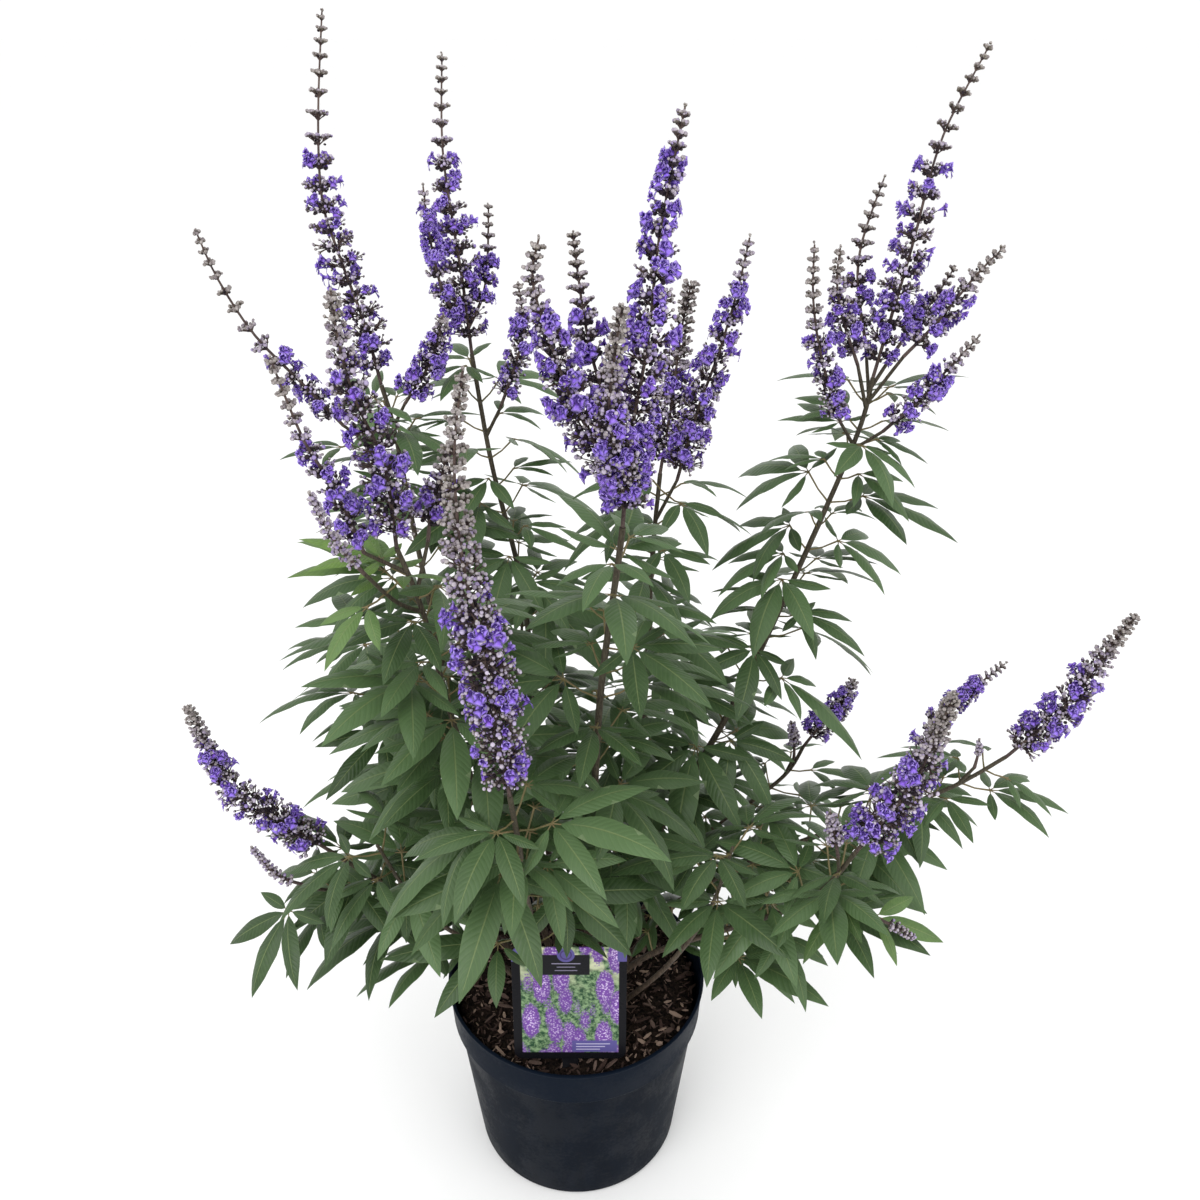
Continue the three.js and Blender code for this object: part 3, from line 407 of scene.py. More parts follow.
def apart(e, g):
    """Shortest way between each straight piece of e and each of g."""
    a = e[:, None, 0]
    c = g[None, :, 0]
    u = e[:, None, 1] - a
    v = g[None, :, 1] - c
    w = a - c
    uu, uv, vv, uw, vw = [(p * q).sum(-1) for p, q in ((u, u), (u, v), (v, v), (u, w), (v, w))]
    den = uu * vv - uv * uv
    flat = den <= 1e-9
    s = np.where(flat, 0, (uv * vw - vv * uw) / np.where(flat, 1, den)).clip(0, 1)
    t = (uv * s + vw) / vv
    past = (t < 0) | (t > 1)
    t = t.clip(0, 1)
    s = np.where(past, ((uv * t - uw) / uu).clip(0, 1), s)
    gap = a + u * s[..., None] - (c + v * t[..., None])
    return np.sqrt((gap ** 2).sum(-1))


def pierces(e, f):
    """Whether any straight piece of e goes through any triangle of f."""
    if not len(f):
        return False
    p = e[:, None, 0]
    way = e[:, None, 1] - p
    a = f[None, :, 0]
    one = f[None, :, 1] - a
    two = f[None, :, 2] - a
    h = np.cross(way, two)
    det = (one * h).sum(-1)
    flat = np.abs(det) < 1e-9
    det = np.where(flat, 1, det)
    s = p - a
    u = (s * h).sum(-1) / det
    g = np.cross(s, one)
    v = (way * g).sum(-1) / det
    t = (two * g).sum(-1) / det
    return bool((~flat & (u >= 0) & (u <= 1) & (v >= 0) & (u + v <= 1) & (t >= 0) & (t <= 1)).any())


def blocked(p):
    """Whether a point is too low, or in the place of the pot or the label."""
    x, y, z = p
    if z < LEAF["lowest"] + 0.4 * max(0, -y - 100):
        return True
    if z < POT["height"] + ROOM and math.hypot(x, y) < POT["rim"] + ROOM:
        return True
    across, deep, high = CARD["middle"]
    return (abs(x - across) < CARD["width"] / 2 + ROOM and abs(y - deep) < 3 * ROOM
            and z < high + CARD["height"] / 2 + ROOM)


def in_sight(p):
    """Whether a point would hide the pot's mouth, the label or the low spike on the right from the front."""
    x, y, z = p - EYE
    away = EYE_COS * y - EYE_SIN * z
    across = x / away
    high = (EYE_SIN * y + EYE_COS * z) / away
    return any(low < high < top and left < across < right and p[1] < deep
               for left, right, low, top, deep in CLEARINGS)


def leaf_lines(leaf):
    """A leaf's straight pieces and flats, for the test of what it comes near to."""
    hub, up = leaf.hub, leaf.up
    side = np.cross(leaf.ahead, up)
    edges = []
    flats = []
    for deg, part in FANS[leaf.count]:
        l = part * leaf.long
        d = swing(leaf.ahead, side, math.radians(deg))
        w = np.cross(d, up)
        high = 0.07 if part > 0.6 else 0.01 - leaf.droop / 2
        edge = hub + d * BLADE["widest"] * l + up * (high - BLADE["hang"]) * l
        rib = hub + d * BLADE["rib"] * l + up * high * l
        tip = hub + d * BLADE["tip"] * l - up * leaf.droop * l
        left = edge - w * BLADE["half"] * l
        right = edge + w * BLADE["half"] * l
        edges += [[hub, left], [left, tip], [tip, right], [right, hub], [hub, rib], [rib, tip]]
        flats += [[hub, left, rib], [hub, rib, right], [left, tip, rib], [rib, tip, right]]
    return np.array(edges), np.array(flats)


def place_leaf(kept, leaves, on, s, azimuth, long, low, seed, trials=2 * TRIALS, clear=False):
    """Adds a leaf at length s of a branch, its place chosen among several so that it hangs free."""
    draw = Draws(seed)
    t = on.curve.along(s)
    root = on.curve.point(s)
    a, b = square(t)
    for n in range(trials):
        aside = (1 if n % 2 else -1) * STANCE["step"] * math.ceil((n % TRIALS) / 2)
        turn = math.radians(azimuth + aside + STANCE["chance"] * (draw() - 0.5))
        l = long * (1 if n < TRIALS else SHORTER) * draw(*LEAF["vary"])
        dip = math.radians(draw(*STANCE["dip"]) + STANCE["low_dip"] * low)
        roll = math.radians(draw(-STANCE["roll"], STANCE["roll"]))
        droop = draw(*LEAF["droop"])
        out = swing(a, b, turn)
        # The stalk leans outwards, along its stem and a little up
        stalk = unit(out * 0.85 + t * 0.45 + UP * 0.15)
        hub = root + stalk * LEAF["stalk"] * l
        flat = unit(np.array([out[0] + 0.5 * t[0], out[1] + 0.5 * t[1], 0]))
        ahead = swing(flat, -UP, dip)
        level = swing(UP, flat, dip)
        leaf = SimpleNamespace(root=root, hub=hub, ahead=ahead, up=swing(level, np.cross(ahead, level), roll),
                               long=l, count=3 if l < BIG_LEAF else 5, droop=droop)
        edges, flats = leaf_lines(leaf)
        ends = np.concatenate([edges[:, 1], edges.mean(1)])
        if any(blocked(p) or (clear and in_sight(p)) for p in ends):
            continue
        stalk_edge = np.array([[root + stalk * FREE, hub]])
        if kept.meets(stalk_edge, NONE, on.stem) or kept.meets(edges, flats):
            continue
        kept.keep(np.concatenate([edges, stalk_edge]), flats, LEAF["rib"] / 2)
        leaves.append(leaf)
        return


def whorl(axis, u):
    """Radius of a spike's whorl at a part u of its length: full low down, slim at its tip."""
    full = held((1 - u) / TAPER) ** 0.9
    lowest = u < 0.06
    return lerp(axis.tip, axis.girth, full) * (0.8 if lowest else 1)


def branch(kept, foot, way, radius, fineness):
    """A stem or twig: its line as in the solids, its finer one, and its number among what is kept clear."""
    curve = Line([*foot, *smooth(way, 2)])
    return SimpleNamespace(curve=curve, fine=Line([*foot, *smooth(way, fineness)]),
                           stem=kept.keep(curve.spans(), NONE, radius))


def grown_spike(kept, spike, on):
    """The axes of a spike on the end of a branch."""
    axes = []
    for axis in spike.axes:
        if axes:
            through = [axes[0].curve.nearest(np.array(axis.path[0], float)), *axis.path[1:]]
        else:
            through = [on.point(on.long) + on.along(on.long) * 0.35, *axis.path]
        curve = Line(smooth(through, 4))
        last = len(curve.points) - 1
        for j in range(0, last, 2):
            piece = np.array([[curve.points[j], curve.points[min(j + 2, last)]]])
            kept.keep(piece, NONE, whorl(axis, curve.at[j] / curve.long))
        axes.append(SimpleNamespace(axis=axis, curve=curve, first=FIRST_WHORL["side" if axes else "main"]))
    return axes


@functools.lru_cache
def grown_plant():
    """Every shoot with its twigs and leaves, and the axes of every spike."""
    kept = Kept()
    shoots = {}
    for name, shoot in SHOOTS.items():
        x, y = shoot.foot
        foot = np.array([x, y, SOIL["top"] - SOIL["hole_depth"] + 0.5])
        rise = [[x, y, SOIL["top"] + 8], *shoot.path]
        made = branch(kept, [foot], rise, 0.8 * shoot.radius[0], 10)
        made.leaves = []
        made.twigs = []
        for start, *rest in TWIGS.get(name, []):
            way = [made.curve.nearest(np.array(start, float)), *rest]
            made.twigs.append(branch(kept, [], way, TWIG_RADIUS, 6))
        shoots[name] = made
    spikes = {}
    for name, spike in SPIKES.items():
        made = shoots[spike.shoot]
        spikes[name] = grown_spike(kept, spike, [made, *made.twigs][spike.end].curve)
    flowering = {spike.shoot for spike in SPIKES.values() if spike.end == 0}
    for k, (name, shoot) in enumerate(SHOOTS.items()):
        made = shoots[name]
        first, last, gap = shoot.leaves
        places = []
        s = first
        while s <= last:
            u = (s - first) / (last - first)
            places.append((made, s, lerp(*shoot.size, u), 1 - u))
            s += gap
        if name not in flowering:
            places.append((made, made.curve.long - 10, END_LEAF, 0))
        for twig in made.twigs:
            if twig.curve.long > LEAFY_TWIG:
                places.append((twig, 0.6 * twig.curve.long, TWIG_LEAF, 0))
        for i, (on, s, long, low) in enumerate(places):
            for side in (0, 1):
                azimuth = shoot.turn + 90 * i + 180 * side
                place_leaf(kept, made.leaves, on, s, azimuth, long, low, 100 * (k + 1) + 2 * i + side)
    fill_in(shoots, kept)
    return shoots, spikes


def fill_in(shoots, kept):
    """The finer growth that stands between the leaves of the solids."""
    for turn, (share, size) in enumerate(FILL_ROUNDS):
        for k, (name, shoot) in enumerate(SHOOTS.items()):
            made = shoots[name]
            first, last, gap = shoot.leaves
            s = first + gap * (share - 1)
            i = 0
            while s <= made.curve.long - 16:
                u = held((s - first) / (last - first))
                long = lerp(*shoot.size, u) * size
                for side in (0, 1):
                    azimuth = shoot.turn + 90 * i + 45 + 180 * side + 20 * turn
                    seed = 10000 * (turn + 1) + 100 * (k + 1) + 2 * i + side
                    place_leaf(kept, made.leaves, made, s, azimuth, long, 1 - u, seed, TRIALS, True)
                s += gap
                i += 1
    for k, (name, shoot) in enumerate(SHOOTS.items()):
        made = shoots[name]
        for i, part in enumerate(FILL_LOW):
            for side in (0, 1):
                azimuth = shoot.turn + 90 * i + 20 + 180 * side
                seed = 50000 + 100 * k + 2 * i + side
                place_leaf(kept, made.leaves, made, shoot.leaves[0] * part, azimuth, shoot.size[0] * 0.62,
                           0.3, seed, clear=True)
    for name, twig, s, azimuth, long, low, seed in SINGLE:
        made = shoots[name]
        on = made if twig is None else made.twigs[twig]
        place_leaf(kept, made.leaves, on, s, azimuth, long, low, 59999 + seed, clear=True)
    for made in shoots.values():
        for leaf in made.leaves:
            leaf.young = max(0, *(1 - math.dist(leaf.hub, place) / reach for *place, reach in YOUNG))


# Node trees
class Net:
    """Adds nodes and links to one node tree."""

    def __init__(self, tree):
        self.tree = tree

    def put(self, socket, value):
        """Links a socket to another, or sets its value."""
        if isinstance(value, bpy.types.NodeSocket):
            self.tree.links.new(value, socket)
        else:
            socket.default_value = value

    def add(self, kind, inputs=None, **settings):
        node = self.tree.nodes.new(kind)
        for key, value in settings.items():
            setattr(node, key, value)
        for key, value in (inputs or {}).items():
            self.put(node.inputs[key], value)
        return node

    def make(self, kind, **given):
        """First output of a new node. Capitalised names are its inputs, with _ for a space."""
        inputs = {key.replace("_", " "): value for key, value in given.items() if key[0].isupper()}
        settings = {key: value for key, value in given.items() if key[0].islower()}
        return self.add(kind, inputs, **settings).outputs[0]

    def given(self, name):
        """A named input of the tree."""
        return self.tree.nodes["Group Input"].outputs[name]

    def math(self, operation, *values):
        return self.add("ShaderNodeMath", dict(enumerate(values)), operation=operation).outputs[0]

    def times(self, *values):
        return functools.reduce(functools.partial(self.math, "MULTIPLY"), values)

    def plus(self, *values):
        return functools.reduce(functools.partial(self.math, "ADD"), values)

    def minus(self, *values):
        return functools.reduce(functools.partial(self.math, "SUBTRACT"), values)

    def scaled(self, vector, factor):
        return self.add("ShaderNodeVectorMath", {0: vector, "Scale": factor}, operation="SCALE").outputs[0]

    def joined(self, x=0.0, y=0.0, z=0.0):
        return self.add("ShaderNodeCombineXYZ", {0: x, 1: y, 2: z}).outputs[0]

    def split(self, vector):
        return self.add("ShaderNodeSeparateXYZ", {0: vector}).outputs

    def fade(self, value, low, high, start=0.0, end=1.0):
        """Smooth step of a value from start at low to end at high."""
        return self.add("ShaderNodeMapRange", {0: value, 1: low, 2: high, 3: start, 4: end},
                        interpolation_type="SMOOTHSTEP").outputs[0]

    def drop(self, value, low, high):
        """Smooth step of a value from 1 at low to 0 at high."""
        return self.fade(value, low, high, 1.0, 0.0)

    def blend(self, factor, a, b):
        """Mix of two colours, each from a socket or three numbers."""
        a, b = (c if isinstance(c, bpy.types.NodeSocket) else (*c, 1) for c in (a, b))
        return self.add("ShaderNodeMix", {0: factor, 6: a, 7: b}, data_type="RGBA").outputs[2]

    def over(self, colour, mask, share, other):
        """A colour with another laid over it, by a share of a mask."""
        return self.blend(self.times(mask, share), colour, other)

    def noise(self, where, scale, detail=3.0, rough=0.55):
        return self.make("ShaderNodeTexNoise", Vector=where, Scale=scale, Detail=detail, Roughness=rough)

    def cells(self, where, scale, output="Distance"):
        return self.add("ShaderNodeTexVoronoi", {"Vector": where, "Scale": scale}).outputs[output]

    def stored(self, name, kind="FLOAT"):
        """A value that the points carry under this name."""
        return self.make("GeometryNodeInputNamedAttribute", Name=name, data_type=kind)

    def copies(self, points, piece, turn, size):
        """Copies on points of the object that is the input named piece."""
        shape = self.add("GeometryNodeObjectInfo", {"Object": self.given(piece)}).outputs["Geometry"]
        return self.make("GeometryNodeInstanceOnPoints", Points=points, Instance=shape, Rotation=turn,
                         Scale=size)

    def real(self, copies):
        return self.make("GeometryNodeRealizeInstances", Geometry=copies)

    def close(self, **values):
        """Links the tree's outputs."""
        for name, value in values.items():
            self.put(self.tree.nodes["Group Output"].inputs[name], value)
        return self.tree

    def finished(self, geometry):
        """Ends a geometry tree: nothing stays a copy, and all of it gets the finish."""
        real = self.real(geometry)
        return self.close(Geometry=self.make("GeometryNodeSetMaterial", Geometry=real,
                                             Material=self.given("Finish")))


def new_tree(name, kind, sockets):
    """A node tree with its outputs [name, socket type] and its inputs [name, socket type, default]."""
    tree = bpy.data.node_groups.new(name, kind)
    for label, socket, *default in sockets:
        side = "INPUT" if default else "OUTPUT"
        made = tree.interface.new_socket(label, in_out=side, socket_type="NodeSocket" + socket)
        if default and default[0] is not None:
            made.default_value = default[0]
    tree.nodes.new("NodeGroupInput")
    tree.nodes.new("NodeGroupOutput")
    return Net(tree)


def geometry_tree(name, *inputs):
    """A tree that makes a geometry from a geometry, with its own inputs and a finish."""
    return new_tree(name, "GeometryNodeTree", [
        ["Geometry", "Geometry"], ["Geometry", "Geometry", None], *inputs, ["Finish", "Material", None]])


@functools.lru_cache
def copies_tree():
    """Copies a small piece onto points, each with its own turn and size."""
    net = geometry_tree("Copies on points", ["Piece", "Object", None], ["Size", "Float", 1.0])
    size = net.scaled(net.stored("grow", "FLOAT_VECTOR"), net.given("Size"))
    return net.finished(net.copies(net.given("Geometry"), "Piece", net.stored("turn", "QUATERNION"), size))


@functools.lru_cache
def blades_tree():
    """Copies a flat blade onto points and arches each along its own length."""
    net = geometry_tree(
        "Leaf blades", ["Blade", "Object", None], ["Roof", "Float", 0.03], ["Wave", "Float", 0.012])
    real = net.real(net.copies(net.given("Geometry"), "Blade", net.stored("turn", "QUATERNION"),
                               net.stored("grow", "FLOAT_VECTOR")))
    t = net.stored("length_part")
    side = net.stored("side_part")
    wide = net.times(side, side)
    rise = net.times(net.stored("rise"), t)
    fall = net.times(net.stored("fall"), net.times(t, t))
    crease = net.plus(net.times(wide, 0.4), net.times(net.math("ABSOLUTE", side), 0.6))
    roof = net.times(crease, net.given("Roof"), net.stored("fold"))
    waves = 15.0    # radians along a leaflet
    lag = 1.1       # radians from its rib to its margin
    phase = net.plus(net.times(t, waves), net.plus(net.stored("phase"), net.times(side, lag)))
    wave = net.times(wide, net.given("Wave"), net.math("SINE", phase))
    lift = net.scaled(net.stored("over", "FLOAT_VECTOR"), net.plus(net.minus(rise, fall, roof), wave))
    sway = net.scaled(net.stored("across", "FLOAT_VECTOR"), net.times(net.stored("sway"), t, t))
    offset = net.add("ShaderNodeVectorMath", {0: lift, 1: sway}, operation="ADD").outputs[0]
    return net.finished(net.make("GeometryNodeSetPosition", Geometry=real, Offset=offset))


@functools.lru_cache
def stems_tree():
    """Sweeps a round section along lines of points, as thick as each point says."""
    net = geometry_tree("Stems along lines", ["Sides", "Int", 8], ["Knots", "Float", 0.0])
    curve = net.make("GeometryNodeMeshToCurve", Mesh=net.given("Geometry"))
    section = net.make("GeometryNodeCurvePrimitiveCircle", Resolution=net.given("Sides"), Radius=1.0,
                       mode="RADIUS")
    swept = net.make("GeometryNodeCurveToMesh", Curve=curve, Profile_Curve=section, Scale=net.stored("thick"),
                     Fill_Caps=True)
    knots = 160.0   # for each metre
    rough = net.minus(net.noise(net.make("GeometryNodeInputPosition"), knots, 2.0), 0.5)
    out = net.scaled(net.make("GeometryNodeInputNormal"), net.times(rough, net.given("Knots")))
    knotty = net.make("GeometryNodeSetPosition", Geometry=swept, Offset=out)
    return net.finished(net.make("GeometryNodeSetShadeSmooth", Geometry=knotty))


@functools.lru_cache
def mulch_tree():
    """Strews bark chips over a surface, turned and sized at random."""
    net = geometry_tree(
        "Bark chips", ["Chip", "Object", None], ["Density", "Float", 30000.0], ["Smallest", "Float", 0.4],
        ["Largest", "Float", 1.5], ["Tilt", "Float", 0.5], ["Lift", "Float", 0.001], ["Seed", "Int", 4])

    def chance(least, most, seed):
        """A random vector for each chip."""
        return net.add("FunctionNodeRandomValue", {0: net.joined(*least), 1: net.joined(*most), "Seed": seed},
                       data_type="FLOAT_VECTOR").outputs[0]

    upward = 0.6    # of a face's normal, where chips can lie
    top = net.math("GREATER_THAN", net.split(net.make("GeometryNodeInputNormal"))[2], upward)
    strewn = net.make("GeometryNodeDistributePointsOnFaces", Mesh=net.given("Geometry"), Selection=top,
                      Density=net.given("Density"), Seed=net.given("Seed"))
    tilt = net.given("Tilt")
    down = net.times(tilt, -1.0)
    turn = chance((down, down, -3.14), (tilt, tilt, 3.14), 11)
    size = chance([net.given("Smallest")] * 3, [net.given("Largest")] * 3, 12)
    copies = net.copies(strewn, "Chip", turn, size)
    tone = net.add("FunctionNodeRandomValue", {2: 0.0, 3: 1.0, "Seed": 13}, data_type="FLOAT").outputs[1]
    toned = net.make("GeometryNodeStoreNamedAttribute", Geometry=copies, Name="tone", Value=tone,
                     data_type="FLOAT", domain="INSTANCE")
    return net.finished(net.make("GeometryNodeTranslateInstances", Instances=toned,
                                 Translation=net.joined(z=net.given("Lift")), Local_Space=False))


@functools.lru_cache
def drains_tree():
    """Cuts a ring of round holes down through a body."""
    net = geometry_tree(
        "Drain holes", ["Holes", "Int", 6], ["Ring", "Float", 0.094], ["Radius", "Float", 0.007])
    ring = net.make("GeometryNodeMeshCircle", Vertices=net.given("Holes"), Radius=net.given("Ring"))
    turn = net.joined(z=net.math("DIVIDE", math.pi, net.given("Holes")))
    ring = net.make("GeometryNodeTransform", Geometry=ring, Translation=(0, 0, 0.003), Rotation=turn)
    tool = net.make("GeometryNodeMeshCylinder", Vertices=24, Radius=net.given("Radius"), Depth=0.012)
    tools = net.real(net.make("GeometryNodeInstanceOnPoints", Points=ring, Instance=tool))
    return net.finished(net.make("GeometryNodeMeshBoolean", Mesh_1=net.given("Geometry"), Mesh_2=tools,
                                 operation="DIFFERENCE", solver="EXACT"))


# Meshes
def metres(p):
    """A place in metres from one in millimetres."""
    return tuple(float(x) / 1000 for x in p)


def polar(r, w, z):
    """A place by its distance from +Z, its angle and its height."""
    return r * math.cos(w), r * math.sin(w), z


def mesh_of(name, points, faces, even=True):
    """Mesh from points in metres and faces."""
    mesh = bpy.data.meshes.new(name)
    mesh.from_pydata([tuple(map(float, p)) for p in points], [], [tuple(map(int, f)) for f in faces])
    mesh.update()
    if even:
        mesh.shade_smooth()
    return mesh


def give(mesh, name, values):
    """Stores a value for each point under a name."""
    values = np.asarray(values, np.float32)
    kind = "FLOAT" if values.ndim == 1 else {3: "FLOAT_VECTOR", 4: "QUATERNION"}[values.shape[1]]
    carried = mesh.attributes.new(name, kind, "POINT")
    carried.data.foreach_set("vector" if kind == "FLOAT_VECTOR" else "value", values.ravel())


def points_mesh(name, rows):
    """Loose points from rows of their place in millimetres and of what each copy needs."""
    mesh = bpy.data.meshes.new(name)
    mesh.from_pydata([metres(row.pop("place")) for row in rows], [], [])
    for key in rows[0]:
        give(mesh, key, [row[key] for row in rows])
    return mesh


def lines_mesh(name, lines):
    """Lines of [point, radius] stations in millimetres, for the stems tree."""
    stations = [station for line in lines for station in line]
    edges = []
    start = 0
    for line in lines:
        edges += [(i, i + 1) for i in range(start, start + len(line) - 1)]
        start += len(line)
    mesh = bpy.data.meshes.new(name)
    mesh.from_pydata([metres(p) for p, _ in stations], edges, [])
    give(mesh, "thick", [r / 1000 for _, r in stations])
    return mesh


def turn_of(x, y, z):
    """Quaternion that turns a copy's own axes to x, y and z."""
    return list(Matrix(np.array([x, y, z]).T.tolist()).to_quaternion())


def grown_from(mesh, tree, **inputs):
    """Plain mesh that a geometry tree makes from a mesh."""
    seed = bpy.data.objects.new(mesh.name, mesh)
    modifier = seed.modifiers.new(tree.name, "NODES")
    modifier.node_group = tree
    for item in tree.interface.items_tree:
        if item.in_out == "INPUT" and item.name in inputs:
            modifier[item.identifier] = inputs[item.name]
    helpers = [value for value in inputs.values() if isinstance(value, bpy.types.Object)]
    things = bpy.context.scene.collection.objects
    for thing in (seed, *helpers):
        things.link(thing)
    graph = bpy.context.evaluated_depsgraph_get()
    made = bpy.data.meshes.new_from_object(
        seed.evaluated_get(graph), preserve_all_data_layers=True, depsgraph=graph)
    for thing in helpers:
        things.unlink(thing)
    bpy.data.objects.remove(seed)
    if not len(made.polygons):
        raise RuntimeError(f"{tree.name} made nothing of {mesh.name}")
    return made


def put_in(name, meshes, slot, *nodes):
    """One piece from several meshes, which rides on the root and stands for CAD nodes."""
    parts = []
    for k, mesh in enumerate(meshes):
        part = bpy.data.objects.new(name if k == 0 else f"{name}_{k}", mesh)
        bpy.context.scene.collection.objects.link(part)
        parts.append(part)
    piece = parts[0]
    if len(parts) > 1:
        with bpy.context.temp_override(active_object=piece, object=piece, selected_editable_objects=parts,
                                       selected_objects=parts):
            bpy.ops.object.join()
    piece.data.name = name
    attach(piece, "root")
    if nodes:
        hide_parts(*nodes)
    return piece


def turned_mesh(name, outline, sides):
    """Turned body about +Z from [radius, height] points in millimetres that start and end on the axis."""
    (_, low), *rings, (_, high) = outline
    points = [(0, 0, low)]
    for r, z in rings:
        points += [polar(r, 2 * math.pi * i / sides, z) for i in range(sides)]
    top = len(points)
    points.append((0, 0, high))
    faces = []
    for i in range(sides):
        j = (i + 1) % sides
        faces.append((0, 1 + j, 1 + i))
        for p in range(1, top - sides, sides):
            q = p + sides
            faces.append((p + i, p + j, q + j, q + i))
        faces.append((top, top - sides + i, top - sides + j))
    return mesh_of(name, [metres(p) for p in points], faces)


def rounded(outline, radius, steps=3):
    """Outline with every inner corner turned into a small arc."""
    out = [outline[0]]
    for corner in zip(outline, outline[1:], outline[2:]):
        before, at, after = (np.array(p, float) for p in corner)
        one = before - at
        two = after - at
        r = min(radius, 0.45 * math.hypot(*one), 0.45 * math.hypot(*two))
        start = at + one / math.hypot(*one) * r
        end = at + two / math.hypot(*two) * r
        for k in range(steps + 1):
            t = k / steps
            out.append(tuple((1 - t) ** 2 * start + 2 * t * (1 - t) * at + t * t * end))
    return out + [outline[-1]]


# Finishes
class Finish(Net):
    """A material with its shader. Fixed values sit on the shader's own sockets."""

    def __init__(self, name, roughness, **fixed):
        self.material = bpy.data.materials.new(name)
        self.material.use_nodes = True
        super().__init__(self.material.node_tree)
        self.shader = next(n for n in self.tree.nodes if n.type == "BSDF_PRINCIPLED")
        self.set(Roughness=roughness, **fixed)

    def set(self, **values):
        """Sets or links the shader's sockets."""
        for key, value in values.items():
            self.put(self.shader.inputs[key.replace("_", " ")], value)

    @functools.cached_property
    def place(self):
        return self.add("ShaderNodeTexCoord").outputs["Object"]

    def printed_at(self):
        """Both coordinates of the piece's UV map."""
        return self.split(self.make("ShaderNodeUVMap", uv_map="UVMap"))[:2]

    def stretched(self, high):
        """Places for a pattern that is drawn out upwards."""
        return self.make("ShaderNodeMapping", Vector=self.place, Scale=(1.0, 1.0, high))

    def carried(self, name):
        """A number that the mesh carries under this name."""
        node = self.add("ShaderNodeAttribute", attribute_name=name, attribute_type="GEOMETRY")
        return node.outputs["Fac"]

    def mask(self, tree, **inputs):
        """Mask from one of the shader groups, with its own values."""
        return self.add("ShaderNodeGroup", {"Place": self.place, **inputs}, node_tree=tree).outputs[0]

    def mottle(self, patch, grain):
        return self.mask(mottle_group(), Patch=patch, Grain=grain)

    def dusty(self, colour, specks, amount, dust):
        """A colour with specks of dust on it."""
        return self.blend(self.mask(dust_group(), Specks=specks, Amount=amount), colour, dust)

    def downy(self, colour, share, fineness, cover, down):
        """A colour with pale down over it."""
        return self.over(colour, self.mask(down_group(), Fineness=fineness, Cover=cover), share, down)

    def bump(self, height, strength, distance):
        self.set(Normal=self.make("ShaderNodeBump", Height=height, Strength=strength, Distance=distance))

    def painted(self, colour):
        """The material, with its colour."""
        self.set(Base_Color=colour)
        return self.material


def shade(colour, share):
    return [share * c for c in colour]


def mask_tree(name, *inputs):
    """A shader group that makes a mask from a place and its own inputs."""
    return new_tree(name, "ShaderNodeTree", [["Mask", "Float"], ["Place", "Vector", (0, 0, 0)], *inputs])


@functools.lru_cache
def mottle_group():
    """Soft uneven patches and fine grain."""
    net = mask_tree("Mottle", ["Patch", "Float", 30.0], ["Grain", "Float", 400.0])
    patch = net.noise(net.given("Place"), net.given("Patch"), 3.0)
    grain = net.noise(net.given("Place"), net.given("Grain"), 2.0)
    return net.close(Mask=net.fade(net.plus(net.times(patch, 0.7), net.times(grain, 0.3)), 0.35, 0.65))


@functools.lru_cache
def down_group():
    """Fine pale down that catches light on young growth."""
    net = mask_tree("Down", ["Fineness", "Float", 1500.0], ["Cover", "Float", 0.5])
    hairs = net.noise(net.given("Place"), net.given("Fineness"), 2.0, 0.7)
    patches = net.noise(net.given("Place"), 90.0, 2.0)
    least = net.minus(0.75, net.times(net.given("Cover"), 0.4))
    return net.close(Mask=net.times(net.fade(hairs, least, 0.8), net.fade(patches, 0.25, 0.7, 0.4, 1.0)))


@functools.lru_cache
def dust_group():
    """Small pale specks and scuffs."""
    net = mask_tree("Dust", ["Specks", "Float", 260.0], ["Amount", "Float", 0.5])
    small = net.drop(net.cells(net.given("Place"), net.given("Specks")), 0.02, 0.16)
    here = net.fade(net.noise(net.given("Place"), 45.0, 2.0), 0.5, 0.72)
    return net.close(Mask=net.times(small, here, net.given("Amount")))


